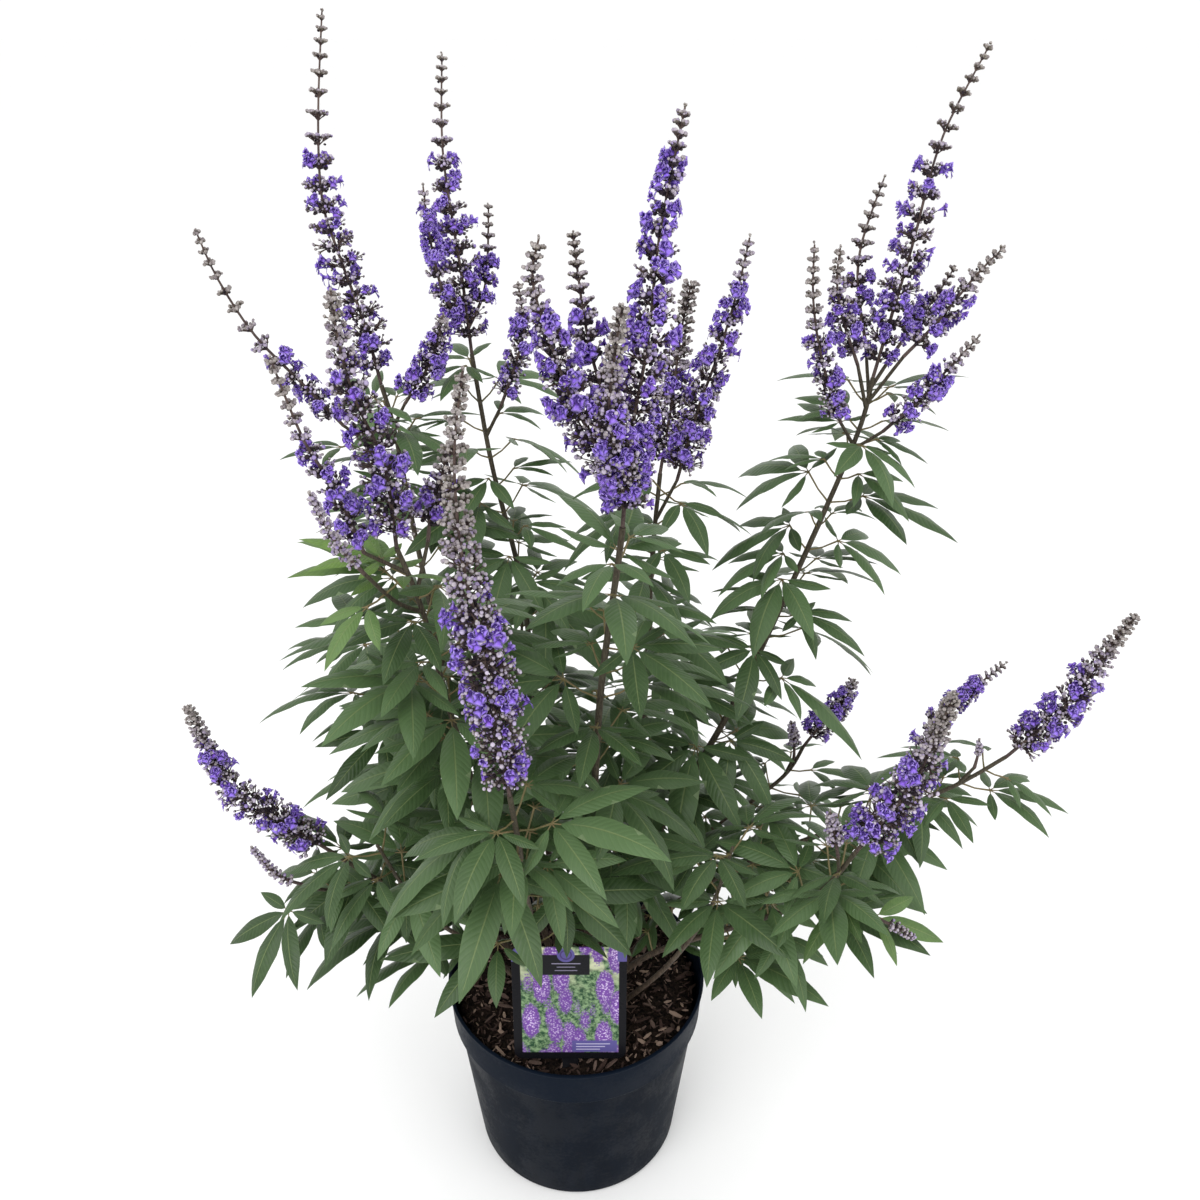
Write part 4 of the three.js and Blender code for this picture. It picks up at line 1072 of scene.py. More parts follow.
@functools.lru_cache
def leaf_finish():
    """Dull green above and paler grey-green below, with a yellow-green midrib and fine side veins."""
    sizes = bpy.context.scene.chaste_tree_leaves
    net = Finish("leaf_blade", 0.52, Specular_IOR_Level=0.32)
    u, v = net.printed_at()
    under = net.math("GREATER_THAN", u, 1.5)
    # From 0 on the midrib to 1 at the margin
    s = net.math("ABSOLUTE", net.minus(net.times(net.minus(u, net.times(under, 2.0)), 2.0), 1.0))
    rib = net.drop(s, 0.02, 0.075)
    # Side veins slant forward, and near is 1 on each of them
    veins = 15.0
    slant = net.plus(net.times(s, 0.1), net.times(s, s, 0.035))
    step = net.math("FRACT", net.times(net.minus(v, slant), veins))
    near = net.times(net.math("ABSOLUTE", net.minus(step, 0.5)), 2.0)
    vein = net.times(net.fade(near, 0.72, 1.0), net.drop(s, 0.9, 1.0))
    mottle = net.mottle(22.0, 260.0)
    top = net.blend(net.carried("tint"), sizes.top_deep, sizes.top_light)
    top = net.over(top, mottle, 0.3, sizes.top_light)
    top = net.over(top, vein, 0.18, sizes.vein)
    top = net.over(top, net.fade(s, 0.93, 1.0), 0.35, sizes.vein)
    low = net.blend(mottle, sizes.under_deep, sizes.under_light)
    low = net.over(low, vein, 0.35, sizes.vein)
    fresh = net.blend(mottle, sizes.young_deep, sizes.young_light)
    top = net.blend(net.carried("young"), top, fresh)
    net.set(Roughness=net.fade(mottle, 0.0, 1.0, 0.36, 0.52))
    height = net.minus(net.times(net.drop(near, 0.2, 1.0), 0.8), net.times(rib, 1.2))
    up_or_down = net.minus(1.0, net.times(under, 2.0))
    grain = net.times(net.noise(net.place, 900.0, 2.0), 0.35)
    net.bump(net.plus(net.times(height, up_or_down), grain), 0.4, 0.0005)
    return net.painted(net.over(net.blend(under, top, low), rib, 0.6, sizes.rib))


@functools.lru_cache
def stalk_finish():
    """Leaf stalks: tan to green, browner where the leaflets meet."""
    net = Finish("leaf_stalk", 0.6, Specular_IOR_Level=0.25)
    mottle = net.mottle(60.0, 700.0)
    net.bump(mottle, 0.2, 0.0003)
    colour = net.blend(mottle, (0.115, 0.105, 0.04), (0.2, 0.155, 0.075))
    return net.painted(net.downy(colour, 0.35, 1800.0, 0.4, (0.4, 0.38, 0.3)))


@functools.lru_cache
def bark_finish():
    """Stems: woody tan-brown low down, dark purple-brown further up, with fine streaks and pores."""
    net = Finish("stem_bark", 0.65, Specular_IOR_Level=0.2)
    streaks = net.noise(net.stretched(0.12), 900.0, 3.0, 0.65)
    streak = net.fade(streaks, 0.35, 0.65)
    old = net.blend(streak, (0.034, 0.023, 0.016), (0.1, 0.073, 0.052))
    young = net.blend(streak, (0.03, 0.023, 0.017), (0.08, 0.066, 0.044))
    young = net.over(young, net.mottle(35.0, 500.0), 0.35, (0.1, 0.09, 0.062))
    colour = net.blend(net.fade(net.split(net.place)[2], 0.26, 0.52), old, young)
    pore = net.drop(net.cells(net.place, 420.0), 0.06, 0.2)
    net.bump(net.plus(streaks, net.times(pore, 0.4)), 0.45, 0.0006)
    return net.painted(net.over(colour, pore, 0.22, (0.3, 0.26, 0.2)))


@functools.lru_cache
def rachis_finish():
    """Spike stalks: dark purple-brown with grey down."""
    net = Finish("spike_stalk", 0.7, Specular_IOR_Level=0.2)
    mottle = net.mottle(80.0, 700.0)
    net.bump(mottle, 0.3, 0.0004)
    colour = net.blend(mottle, (0.045, 0.028, 0.028), (0.12, 0.085, 0.072))
    return net.painted(net.downy(colour, 0.35, 1600.0, 0.6, (0.3, 0.27, 0.25)))


@functools.lru_cache
def petal_finish():
    """Petals: violet-blue with pale patches, a painted highlight on the lobe rims and painted shade in the
    throat.
    """
    sizes = bpy.context.scene.chaste_tree_flowers
    net = Finish("petal", 0.6, Specular_IOR_Level=0.2)
    inner = net.carried("inner")
    body = net.blend(net.carried("tint"), sizes.petal, sizes.petal_blue)
    body = net.over(body, net.mottle(260.0, 1500.0), 0.35, sizes.petal_pale_and_highlight)
    # Painted highlight: the lobes grow paler out towards their rims
    body = net.blend(net.fade(inner, 0.0, 0.3, 0.8, 0.0), body, sizes.petal_pale_and_highlight)
    # Painted shade: the petals darken deep in the throat
    return net.painted(net.blend(net.fade(inner, 0.36, 0.9), body, sizes.throat))


@functools.lru_cache
def bud_finish():
    """Buds: a grey-green to purple calyx below, a pale lilac to violet tip above, with down."""
    sizes = bpy.context.scene.chaste_tree_flowers
    net = Finish("flower_bud", 0.75, Specular_IOR_Level=0.2)
    high = net.carried("high")
    ripe = net.carried("ripe")
    mottle = net.mottle(300.0, 1500.0)
    green = net.blend(mottle, (0.06, 0.05, 0.036), (0.18, 0.158, 0.125))
    purple = net.blend(mottle, (0.03, 0.021, 0.026), (0.115, 0.094, 0.092))
    calyx = net.blend(net.fade(ripe, 0.1, 0.6), green, purple)
    young = net.blend(mottle, (0.13, 0.108, 0.095), (0.4, 0.37, 0.34))
    tip = net.blend(ripe, young, net.blend(net.carried("tint"), sizes.bud_pale, sizes.bud_violet))
    colour = net.blend(net.fade(high, 0.42, 0.62), calyx, tip)
    # Nearly black buds of ripeness -1: painted shade deep in the whorls, among flowers also spent ones
    colour = net.blend(net.drop(ripe, -1.0, 0.0), colour, (0.022, 0.014, 0.02))
    colour = net.over(colour, net.fade(high, 0.94, 1.0), 0.55, (0.09, 0.06, 0.09))
    return net.painted(net.downy(colour, 0.4, 2200.0, 0.6, (0.42, 0.39, 0.4)))


@functools.lru_cache
def pot_finish():
    """Moulded pot plastic: blue-black satin with faint streaks, a painted highlight on its rim band, scuffs
    and dust.
    """
    plastic = bpy.context.scene.chaste_tree_pot.plastic
    net = Finish("pot_plastic", 0.55, Specular_IOR_Level=0.035, Sheen_Weight=0.03, Sheen_Roughness=0.12)
    streaks = net.noise(net.stretched(0.25), 60.0, 4.0, 0.6)
    mottle = net.mottle(18.0, 300.0)
    colour = net.blend(net.fade(streaks, 0.3, 0.75), plastic, shade(plastic, 1.5))
    colour = net.over(colour, mottle, 0.3, shade(plastic, 1.9))
    colour = net.dusty(colour, 240.0, 0.22, (0.07, 0.075, 0.08))
    height = net.split(net.place)[2]
    # Painted highlight: the rim band is made paler, as if more light falls on it
    painted_light_band = net.fade(height, 0.18, 0.188, 0.0, 0.45)
    colour = net.blend(painted_light_band, colour, shade(plastic, 2.4))
    splash = net.times(net.fade(height, 0.0, 0.04, 0.05, 0.0), net.noise(net.place, 120.0, 3.0))
    net.set(Roughness=net.fade(mottle, 0.0, 1.0, 0.42, 0.6))
    grain = net.noise(net.place, 1400.0, 2.0, 0.6)
    net.bump(net.plus(net.times(grain, 0.5), streaks), 0.25, 0.0004)
    return net.painted(net.blend(splash, colour, (0.12, 0.11, 0.1)))


@functools.lru_cache
def soil_finish():
    """Dark damp potting mix."""
    net = Finish("potting_mix", 0.9, Specular_IOR_Level=0.1)
    crumb = net.make("ShaderNodeSeparateColor", Color=net.cells(net.place, 330.0, "Color"))
    net.bump(net.cells(net.place, 330.0), 0.9, 0.002)
    return net.painted(net.blend(crumb, (0.003, 0.002, 0.002), (0.024, 0.015, 0.011)))


@functools.lru_cache
def chip_finish():
    """Bark chips: mostly dark brown, a few freshly broken and tan, with fibres along each chip."""
    sizes = bpy.context.scene.chaste_tree_soil
    net = Finish("bark_chip", 0.8, Specular_IOR_Level=0.12)
    tone = net.carried("tone")
    fibres = net.noise(net.place, 700.0, 3.0, 0.7)
    dark = net.blend(fibres, sizes.bark_dark, sizes.bark_red)
    tan = net.blend(fibres, shade(sizes.bark_tan, 0.6), sizes.bark_tan)
    colour = net.blend(net.fade(tone, 0.4, 0.85, 0.0, 0.9), dark, (0.175, 0.12, 0.1))
    net.bump(fibres, 0.5, 0.0008)
    return net.painted(net.blend(net.fade(tone, 0.8, 0.86), colour, tan))


@functools.lru_cache
def stake_finish():
    """The stake's black plastic, with dried soil on it."""
    net = Finish("stake_plastic", 0.45, Specular_IOR_Level=0.2)
    mottle = net.mottle(50.0, 600.0)
    net.bump(mottle, 0.15, 0.0003)
    colour = net.blend(mottle, (0.006, 0.006, 0.008), (0.016, 0.016, 0.019))
    return net.painted(net.dusty(colour, 300.0, 0.4, (0.2, 0.17, 0.14)))


@functools.lru_cache
def card_back_finish():
    """The card's plain back: off-white, slightly rubbed."""
    net = Finish("card_back", 0.45)
    mottle = net.mottle(40.0, 500.0)
    net.bump(mottle, 0.1, 0.0002)
    colour = net.blend(mottle, (0.55, 0.55, 0.56), (0.66, 0.66, 0.65))
    return net.painted(net.dusty(colour, 200.0, 0.5, (0.25, 0.2, 0.15)))


@functools.lru_cache
def print_finish():
    """The card's printed front: a made-up garden pattern of lilac plumes over green in a black frame."""
    sizes = bpy.context.scene.chaste_tree_label
    net = Finish("card_print", 0.4, Specular_IOR_Level=0.07)
    u, v = net.printed_at()
    # Millimetres from the card's middle
    x = net.minus(net.times(u, CARD["width"]), CARD["width"] / 2)
    y = net.minus(net.times(v, CARD["height"]), CARD["height"] / 2)
    where = net.joined(x, y)

    def panel(left, right, low, high, soft=0.4):
        """Mask of an upright rectangle."""
        return net.times(net.fade(x, left - soft, left + soft), net.drop(x, right - soft, right + soft),
                         net.fade(y, low - soft, low + soft), net.drop(y, high - soft, high + soft))

    # Garden green, lighter at the top
    leaves = net.noise(where, 0.2, 5.0, 0.7)
    green = net.blend(net.fade(leaves, 0.38, 0.66), (0.02, 0.06, 0.03), (0.24, 0.36, 0.19))
    glow = net.times(net.fade(y, 10, 60), net.fade(net.noise(where, 0.05, 2.0), 0.45, 0.6))
    green = net.blend(glow, green, (0.6, 0.62, 0.42))
    # Slanted plumes with ragged edges, made of florets
    slant = net.make("ShaderNodeMapping", Vector=where, Rotation=(0, 0, 0.3), Scale=(0.062, 0.026, 1))
    ragged = net.times(net.minus(net.noise(where, 0.5, 3.0, 0.7), 0.5), 0.5)
    away = net.plus(net.cells(slant, 1.0), ragged)
    lilac = net.blend(net.fade(net.cells(where, 0.5), 0.15, 0.6), (0.68, 0.56, 0.8), (0.17, 0.07, 0.32))
    lilac = net.over(lilac, net.fade(away, 0.15, 0.5), 0.6, (0.12, 0.05, 0.24))
    picture = net.blend(net.drop(away, 0.5, 0.6), green, lilac)
    # Frame, with its upper corners in the accent colour
    colour = net.blend(panel(-47.5, 48.5, -60.5, 74), sizes.frame_colour, picture)
    corner = net.times(net.fade(y, 51.6, 52.4), net.fade(net.math("ABSOLUTE", x), 46.6, 47.4))
    colour = net.blend(corner, colour, sizes.accent)
    # Dark box with a round ornament over plain bars: [height, half length, strength]
    colour = net.blend(panel(-26, 20, 36, 60), colour, (0.012, 0.012, 0.014))
    round_at = (-3.0, 60.0, 0.0)
    off = net.add("ShaderNodeVectorMath", {0: where, 1: round_at}, operation="DISTANCE").outputs["Value"]
    colour = net.blend(net.drop(off, 8.2, 9.0), colour, sizes.accent)
    ring = net.math("ABSOLUTE", net.minus(off, 5.2))
    colour = net.blend(net.drop(ring, 0.5, 0.9), colour, (0.06, 0.04, 0.14))
    for middle, half, tone in ((49.5, 14, 0.5), (45.4, 9, 0.35), (41.3, 11, 0.35)):
        bar = panel(-3 - half, -3 + half, middle - 0.5, middle + 0.5, 0.3)
        colour = net.over(colour, bar, tone, (0.55, 0.5, 0.72))
    # Accent strip with three bars
    colour = net.blend(panel(2, 47, -60, -45.5), colour, sizes.accent)
    for k in range(3):
        bar = panel(6, 40 - 5 * k, -50.3 - 3.4 * k, -49.5 - 3.4 * k, 0.3)
        colour = net.over(colour, bar, 0.8, (0.7, 0.68, 0.85))
    net.set(Roughness=net.fade(net.noise(where, 0.05, 3.0), 0.35, 0.65, 0.24, 0.38))
    return net.painted(colour)


# Small pieces that are repeated
def blade_object():
    """One flat leaflet, a unit long and wide, thin and closed, with its tip at y = 1."""
    rows = 10
    fullest = 0.264     # of the outline's formula, so that the blade is a unit wide there
    thick = 0.0006
    points = [(0, 0, 0)]
    along = [0.0]
    side = [0.0]
    levels = []
    for i in range(1, rows):
        t = (i / rows) ** 0.92
        full = t ** 0.88 * (1 - t) ** 1.05 / fullest
        level = {}
        for up, s, z in ((0, -1, 0), (1, -0.5, 0.00022), (1, 0, 0.0002), (1, 0.5, 0.00022), (0, 1, 0),
                         (-1, 0, -thick * (1 - t))):
            level[up, s] = len(points)
            points.append((0.5 * s * full, t, z))
            along.append(t)
            side.append(s * full)
        levels.append((t, level))
    tip = len(points)
    points.append((0, 1, 0))
    along.append(1.0)
    side.append(0.0)
    faces = []
    maps = []

    def face(up, corners):
        """Adds a face of [point, u, v] corners. Below it is turned over, and 2 aside in the map."""
        corners = corners if up > 0 else corners[::-1]
        faces.append([c[0] for c in corners])
        maps.extend([(c[1] + (0 if up > 0 else 2), c[2]) for c in corners])

    upper = ((0, -1), (1, -0.5), (1, 0), (1, 0.5), (0, 1))
    lower = ((0, -1), (-1, 0), (0, 1))
    for up, line in ((1, upper), (-1, lower)):
        for one, two in zip(line, line[1:]):
            u, w = (one[1] + 1) / 2, (two[1] + 1) / 2
            t, level = levels[0]
            face(up, [(0, (u + w) / 2, 0), (level[two], w, t), (level[one], u, t)])
            for (t, level), (t2, level2) in zip(levels, levels[1:]):
                face(up, [(level[one], u, t), (level[two], w, t), (level2[two], w, t2), (level2[one], u, t2)])
            t, level = levels[-1]
            face(up, [(level[one], u, t), (level[two], w, t), (tip, (u + w) / 2, 1)])
    mesh = mesh_of("leaflet", points, faces)
    give(mesh, "length_part", along)
    give(mesh, "side_part", side)
    layer = mesh.uv_layers.new(name="UVMap")
    layer.uv.foreach_set("vector", np.array(maps, np.float32).ravel())
    margin = {level[0, k] for _, level in levels for k in (-1, 1)} | {0, tip}
    for edge in mesh.edges:
        edge.use_edge_sharp = all(v in margin for v in edge.vertices)
    return bpy.data.objects.new("leaflet", mesh)


# Lobes of a flower, the lip first: [reach, half its width as an angle, curl]
LOBES = [[5.6, 0.56, -1.9], [3.9, 0.62, 0.1], [3.1, 0.66, 1.5], [3.2, 0.66, 1.2], [3.8, 0.62, -0.2]]
# Stamens: [angle, height]
STAMENS = [[0.9, 5.9], [2.4, 6.1]]


def flower_object(name, spread):
    """One open flower: tube, five lobes of which the lowest is the lip, and stamens. It opens along +Z."""
    points = []
    inner = []
    faces = []

    def add(r, w, z, deep):
        points.append(metres(polar(r, w, z)))
        inner.append(deep)
        return len(points) - 1

    foot = add(0, 0, 0, 0.4)
    throat = add(0, 0, 3.0, 1.0)
    mouth = [add(1.5, 2 * math.pi * (i + 0.5) / 5, 4.6, 0.62) for i in range(5)]
    for i in range(5):
        j = (i + 1) % 5
        faces += [(foot, mouth[j], mouth[i]), (throat, mouth[i], mouth[j])]
    rise = 5.1 + 3 * (1 - spread)
    for i, (reach, wide, curl) in enumerate(LOBES):
        w = 2 * math.pi * i / 5
        reach *= spread
        left, right = add(1.4, w - 0.6, 4.5, 0.6), add(1.4, w + 0.6, 4.5, 0.6)
        one = add(0.88 * reach, w - wide, rise + 0.5 * curl, 0.1)
        two = add(0.86 * reach, w + wide, rise + 0.35 * curl, 0.1)
        tip = add(reach, w + 0.05, rise + curl, 0.0)
        hollow = lerp(4.5, rise + 0.42 * curl, (0.56 * reach - 1.4) / (0.87 * reach - 1.4)) + 0.3
        front = add(0.56 * reach, w, hollow, 0.42)
        loop = [left, one, tip, two, right]
        faces += [(b, a, front) for a, b in zip(loop, loop[1:] + loop[:1])]
        faces += [(left, one, two, right), (one, tip, two)]
    for w, tall in STAMENS:
        a, b, c = [add(0.5, w + k * 2.09, 3.4, 0.2) for k in range(3)]
        top = add(1.7, w, tall, 0.0)
        faces += [(a, b, top), (b, c, top), (c, a, top), (a, c, b)]
    mesh = mesh_of(name, points, faces)
    # How deep in the flower each point lies, for the painted highlight at the rims and the painted shade in
    # the throat
    give(mesh, "inner", inner)
    return bpy.data.objects.new(name, mesh)


def bud_object():
    """One bud, a unit across, on its calyx, pointing along +Z."""
    tall = 1.3
    points = [(0, 0, 0)]
    for k, (r, z) in enumerate(((0.47, 0.45), (0.46, 0.98))):
        points += [polar(r, 2 * math.pi * (i + 0.5 * k) / 5, z) for i in range(5)]
    points.append((0, 0, tall))
    faces = []
    for i in range(5):
        j = (i + 1) % 5
        faces += [(0, 1 + j, 1 + i), (6 + i, 6 + j, 11)]
        faces += [(1 + i, 1 + j, 6 + i), (1 + j, 6 + j, 6 + i)]
    mesh = mesh_of("bud", points, faces)
    give(mesh, "high", [z / tall for _, _, z in points])
    return bpy.data.objects.new("bud", mesh)


def chip_object():
    """One splinter of bark, 12 mm long."""
    draw = Draws(31)
    points = []
    for x, k in ((-6, 0.72), (0.5, 1), (6, 0.6)):
        for y, z in ((-1, -0.4), (1, -0.45), (0.9, 0.5), (-0.9, 0.4)):
            place = (x + draw(-0.6, 0.6), 1.9 * k * y + draw(-0.3, 0.3), 1.5 * k * z + draw(-0.3, 0.3))
            points.append(metres(place))
    faces = [(3, 2, 1, 0), (8, 9, 10, 11)]
    for p, q in ((0, 4), (4, 8)):
        faces += [(p + i, p + (i + 1) % 4, q + (i + 1) % 4, q + i) for i in range(4)]
    return bpy.data.objects.new("chip", mesh_of("chip", points, faces, even=False))


# Leafy shoots
FRONT = -255    # how near to the eye leaflets are shortened


def leaf_copies(leaves, draw):
    """Where each leaflet goes and how it bends, and the lines of the leaf stalks."""
    rows = []
    lines = []
    for leaf in leaves:
        hub, up, long, droop, start = leaf.hub, leaf.up, leaf.long, leaf.droop, leaf.start
        side = np.cross(leaf.ahead, up)
        way = hub - start
        sag = -0.02 * UP * long
        lines.append([(start, 1.25), (start + way * 0.12, 0.95), (start + way * 0.5 + sag, 0.8), (hub, 0.95)])
        tint = draw(0.1, 0.9)
        for deg, part in FANS[leaf.count]:
            deg += draw(-4, 4)
            l = part * long * draw(0.97, 1.04)
            d = swing(leaf.ahead, side, math.radians(deg))
            w = np.cross(d, up)
            foot = (0.075 if part > 0.9 else 0.05) * long
            high = 0.055 if part > 0.6 else 0.005 - droop / 3
            rise = (high + 0.27 * 0.75 * droop) / 0.25
            place = hub + d * foot + up * rise * foot * 0.6
            lines.append([(hub - way * 0.01, 0.85), (hub + d * foot * 0.5 + up * 0.3 * rise * foot, 0.6),
                          (hub + d * (foot + 0.03 * l) + up * rise * foot * 0.75, 0.42)])
            # A leaflet that would hide the label or the pot's mouth is shortened, but not one right in front
            for _ in range(8):
                tip = hub + d * l - up * l * 0.75 * droop
                if in_sight(tip) and tip[1] > FRONT:
                    l *= 0.93
            reach = 0.965 * l - foot
            wide = l * draw(0.22, 0.275) * (0.94 if part < 0.6 else 1)
            rows.append({
                "place": place, "turn": turn_of(w, d, up), "grow": [wide / 1000, reach / 1000, 1],
                "over": up * l / 1000, "across": w * l / 1000,
                "rise": rise * 0.96, "fall": rise + 0.75 * droop,
                "fold": draw(0.7, 1.5), "phase": draw(0, 6.28), "sway": draw(-0.05, 0.05),
                "tint": held(tint + draw(-0.15, 0.15)), "young": leaf.young})
    return rows, lines


def stations(line, thick, thin):
    return [(p, lerp(thick, thin, s / line.long)) for p, s in zip(line.points, line.at)]


def make_shoot(name, shoot, made, blade, draw):
    """A leafy shoot: its stem, twigs, leaf stalks and leaflets."""
    sizes = bpy.context.scene.chaste_tree_leaves
    twigs = [twig.fine for twig in made.twigs]
    for leaf in made.leaves:
        near = [line.nearest(leaf.root) for line in (made.fine, *twigs)]
        leaf.start = min(near, key=lambda p: ((p - leaf.root) ** 2).sum())
    rows, stalks = leaf_copies(made.leaves, draw)
    thick, thin = (0.95 * radius for radius in shoot.radius)
    stems = [stations(made.fine, thick, thin), *(stations(twig, 1.8, 1.5) for twig in twigs)]
    blades = grown_from(points_mesh(name, rows), blades_tree(), Blade=blade, Roof=sizes.roof, Wave=sizes.wave,
                        Finish=leaf_finish())
    wood = grown_from(lines_mesh(name, stems), stems_tree(), Sides=10, Knots=0.0007, Finish=bark_finish())
    green = grown_from(lines_mesh(name, stalks), stems_tree(), Sides=5, Knots=0.0, Finish=stalk_finish())
    put_in("leafy_" + name, [blades, wood, green], "leaf", "shoot_" + name)


# Flower spikes
# One half of a whorl: how many heads a slim and a full one has, how low they may stand inside and outside as
# parts of its height, how far they lean out, from which part of its radius on they have stalks of their own,
# and how many more nearly black buds stand deep inside it, painted shade that among flowers also stands for
# spent ones
Cyme = namedtuple("Cyme", "heads lowest lean stalked spent")
BLOOMING = Cyme((10, 27), (0.05, 0.7), 0.9, 0.6, 0.34)
BUDDING = Cyme((8, 28), (0.4, 0.86), 0.45, 0.35, 0.12)
# Buds in millimetres: nearly open and still small ones among flowers, all of them elsewhere by how full the
# whorl is, and the nearly black ones deep among flowers, painted shade that also stands for spent flowers
BUDS = {"large": (3.0, 4.3), "small": (1.9, 3.0), "closed": (2.3, 3.1), "spent": (2.6, 4.2)}
SPENT_AND_SHADE = -1.0    # ripeness of the nearly black buds, painted shade that among flowers also stands for spent ones
SPREAD = 1.28   # radians to either side of a cyme's middle that its heads reach
FORK = 0.75     # radians from one of its main stalks to the next


def heads_of(r, tall, middle, count, cyme, draw):
    """Ends of one cyme's stalks: how far out, which way round and how high above its node."""
    for k in range(count):
        w = middle + draw(-SPREAD, SPREAD)
        far = r * math.sqrt((k + 0.75) / count) * draw(0.86, 1.04)
        lift = tall * lerp(lerp(*cyme.lowest, far / r), 1.04, math.sqrt(draw()))
        yield far, w, lift + (draw(-0.3, 0.22) * r if cyme is BLOOMING else draw(-0.4, 0.4))


def spacing(left):
    """Distance from one whorl to the next, by the length that is left above."""
    return min(20, 6.5 + 0.14 * left) * lerp(1, 0.78, held((left - 130) / 60))


class Bloom:
    """Gathers the flowers, buds and stalks of one spike."""

    def __init__(self, lush, draw):
        self.lush = lush
        self.draw = draw
        self.flowers = {False: [], True: []}
        self.buds = []
        self.axes = []
        self.stalks = []

    def bud(self, head, way, size, ripe, tint):
        x = unit(np.cross(way, [0.3, 0.5, 1]))
        self.buds.append({"place": head - way * size * 0.6, "turn": turn_of(x, np.cross(way, x), way),
                          "grow": [size / 1000] * 3, "ripe": ripe, "tint": tint})

    def flower(self, head, way, r):
        """An open flower, whose lip hangs down. Some are only half open."""
        draw = self.draw
        lip = unit(np.array([0, 0, -1.0]) + way * way[2])
        lip = unit(swing(lip, np.cross(way, lip), draw(-0.6, 0.6)))
        size = draw(1.04, 1.4) * min(1.12, 0.76 + r / 45)
        turn = turn_of(lip, np.cross(way, lip), way)
        half_open = draw() < 0.3
        self.flowers[half_open].append({"place": head, "turn": turn, "grow": [size] * 3, "tint": draw()})

    def add_cyme(self, cyme, node, t, middle, r, ripe):
        """One half of a whorl, which stands to one side of its node."""
        draw = self.draw
        a, b = square(t)
        tall = 0.72 * min(r, 14)
        part = held((r - 3) / 13)
        count = round(lerp(*cyme.heads, part))
        # Flowers open together in one patch or two
        patches = [(middle + draw(-1.1, 1.1), r * draw(0.55, 0.85)) for _ in range(1 + (draw() < self.lush))]
        patch_reach = max(3.6, (0.21 + 0.22 * self.lush) * r)
        forks = [(w, node + swing(a, b, w) * 0.38 * r + t * 0.45 * tall)
                 for w in (middle - FORK, middle, middle + FORK)]
        self.stalks += [[(node, 0.8), (fork, 0.5)] for _, fork in forks]
        for far, w, lift in heads_of(r, tall, middle, count, cyme, draw):
            out = swing(a, b, w)
            head = node + out * far + t * lift
            way = unit(out * cyme.lean + t * 0.55 + 0.35 * draw.shake())
            away = min(math.hypot(far * math.cos(w - pw) - pf, far * math.sin(w - pw)) for pw, pf in patches)
            if cyme is BUDDING:
                size = draw(0.8, 1.25) * lerp(*BUDS["closed"], part)
                self.bud(head, way, size, ripe * draw(0.3, 1), draw() ** 2)
            elif away < patch_reach and draw() < 0.76:
                head = head - way * 3.0
                self.flower(head, way, r)
            elif draw() < 0.14:
                size = draw(*BUDS["large"]) * min(1, 0.75 + r / 60)
                self.bud(head, way, size, ripe * draw(0.7, 1), draw() ** 3)
            else:
                self.bud(head, way, draw(*BUDS["small"]), ripe * draw(0.1, 0.8), draw() ** 2)
            if far > cyme.stalked * r:
                fork = min(forks, key=lambda f: abs(f[0] - w))[1]
                self.stalks.append([(fork, 0.55), (head + way * 0.4, 0.42)])
        # Nearly black buds deep inside the half whorl: painted shade, which among flowers also stands for
        # spent ones
        for _ in range(round(count * cyme.spent)):
            out = swing(a, b, middle + draw(-1.4, 1.4))
            head = node + out * r * draw(0.15, 0.55) + t * tall * draw(0.1, 0.9)
            way = unit(out + t * draw(-0.2, 0.8))
            self.bud(head, way, draw(*BUDS["spent"]) if cyme is BLOOMING else 2.2, SPENT_AND_SHADE, 0.0)

    def cover(self, made, pace):
        """Whorls from an axis's first to its tip, each turned by a right angle from the last."""
        draw = self.draw
        axis, curve = made.axis, made.curve
        self.axes.append(stations(curve, AXIS["thick"], AXIS["tip"] * 0.8))
        s = made.first
        turn = 0.0
        while s < curve.long - 2:
            u = s / curve.long
            r = whorl(axis, u) * lerp(1, 0.84, held((u - 0.55) / 0.3))
            cyme = BLOOMING if u < axis.open + draw(-0.03, 0.03) else BUDDING
            ripe = held((axis.open + 0.22 - u) / 0.26, 0.1) if axis.open > 0 else 0.7
            if cyme is BLOOMING:
                r *= 1.08
            for side in (0, 1):
                middle = turn + math.pi * side + draw(-0.12, 0.12)
                self.add_cyme(cyme, curve.point(s), curve.along(s), middle, r, ripe)
            turn += math.pi / 2
            s += spacing(curve.long - s) * pace
        tip = curve.point(curve.long)
        t = curve.along(curve.long)
        for _ in range(5):
            way = unit(t + 0.4 * draw.shake(-0.2))
            self.bud(tip + way * draw(0.5, 2.5), way, draw(1.5, 2.0), 0.1, 0.0)


def make_spike(name, axes, small, draw):
    """A flower spike with its side axes, whorls of flowers and buds."""
    sizes = bpy.context.scene.chaste_tree_flowers
    bloom = Bloom(SPIKES[name].lush, draw)
    for made in axes:
        bloom.cover(made, SPIKES[name].pace)
    parts = []
    for half_open, piece in ((False, small["flower"]), (True, small["half_flower"])):
        if bloom.flowers[half_open]:
            parts.append(grown_from(points_mesh(name, bloom.flowers[half_open]), copies_tree(), Piece=piece,
                                    Size=sizes.flower_size, Finish=petal_finish()))
    parts.append(grown_from(points_mesh(name, bloom.buds), copies_tree(), Piece=small["bud"],
                            Size=sizes.bud_size, Finish=bud_finish()))
    for lines, sides, knots in ((bloom.axes, 7, 0.0003), (bloom.stalks, 3, 0.0)):
        parts.append(grown_from(lines_mesh(name, lines), stems_tree(), Sides=sides, Knots=knots,
                                Finish=rachis_finish()))
    put_in("flowers_" + name, parts, "flower", "spike_" + name)


# Pot, soil and label
STEP = POT["height"] - POT["band"]      # where the pot's body widens to its rim band


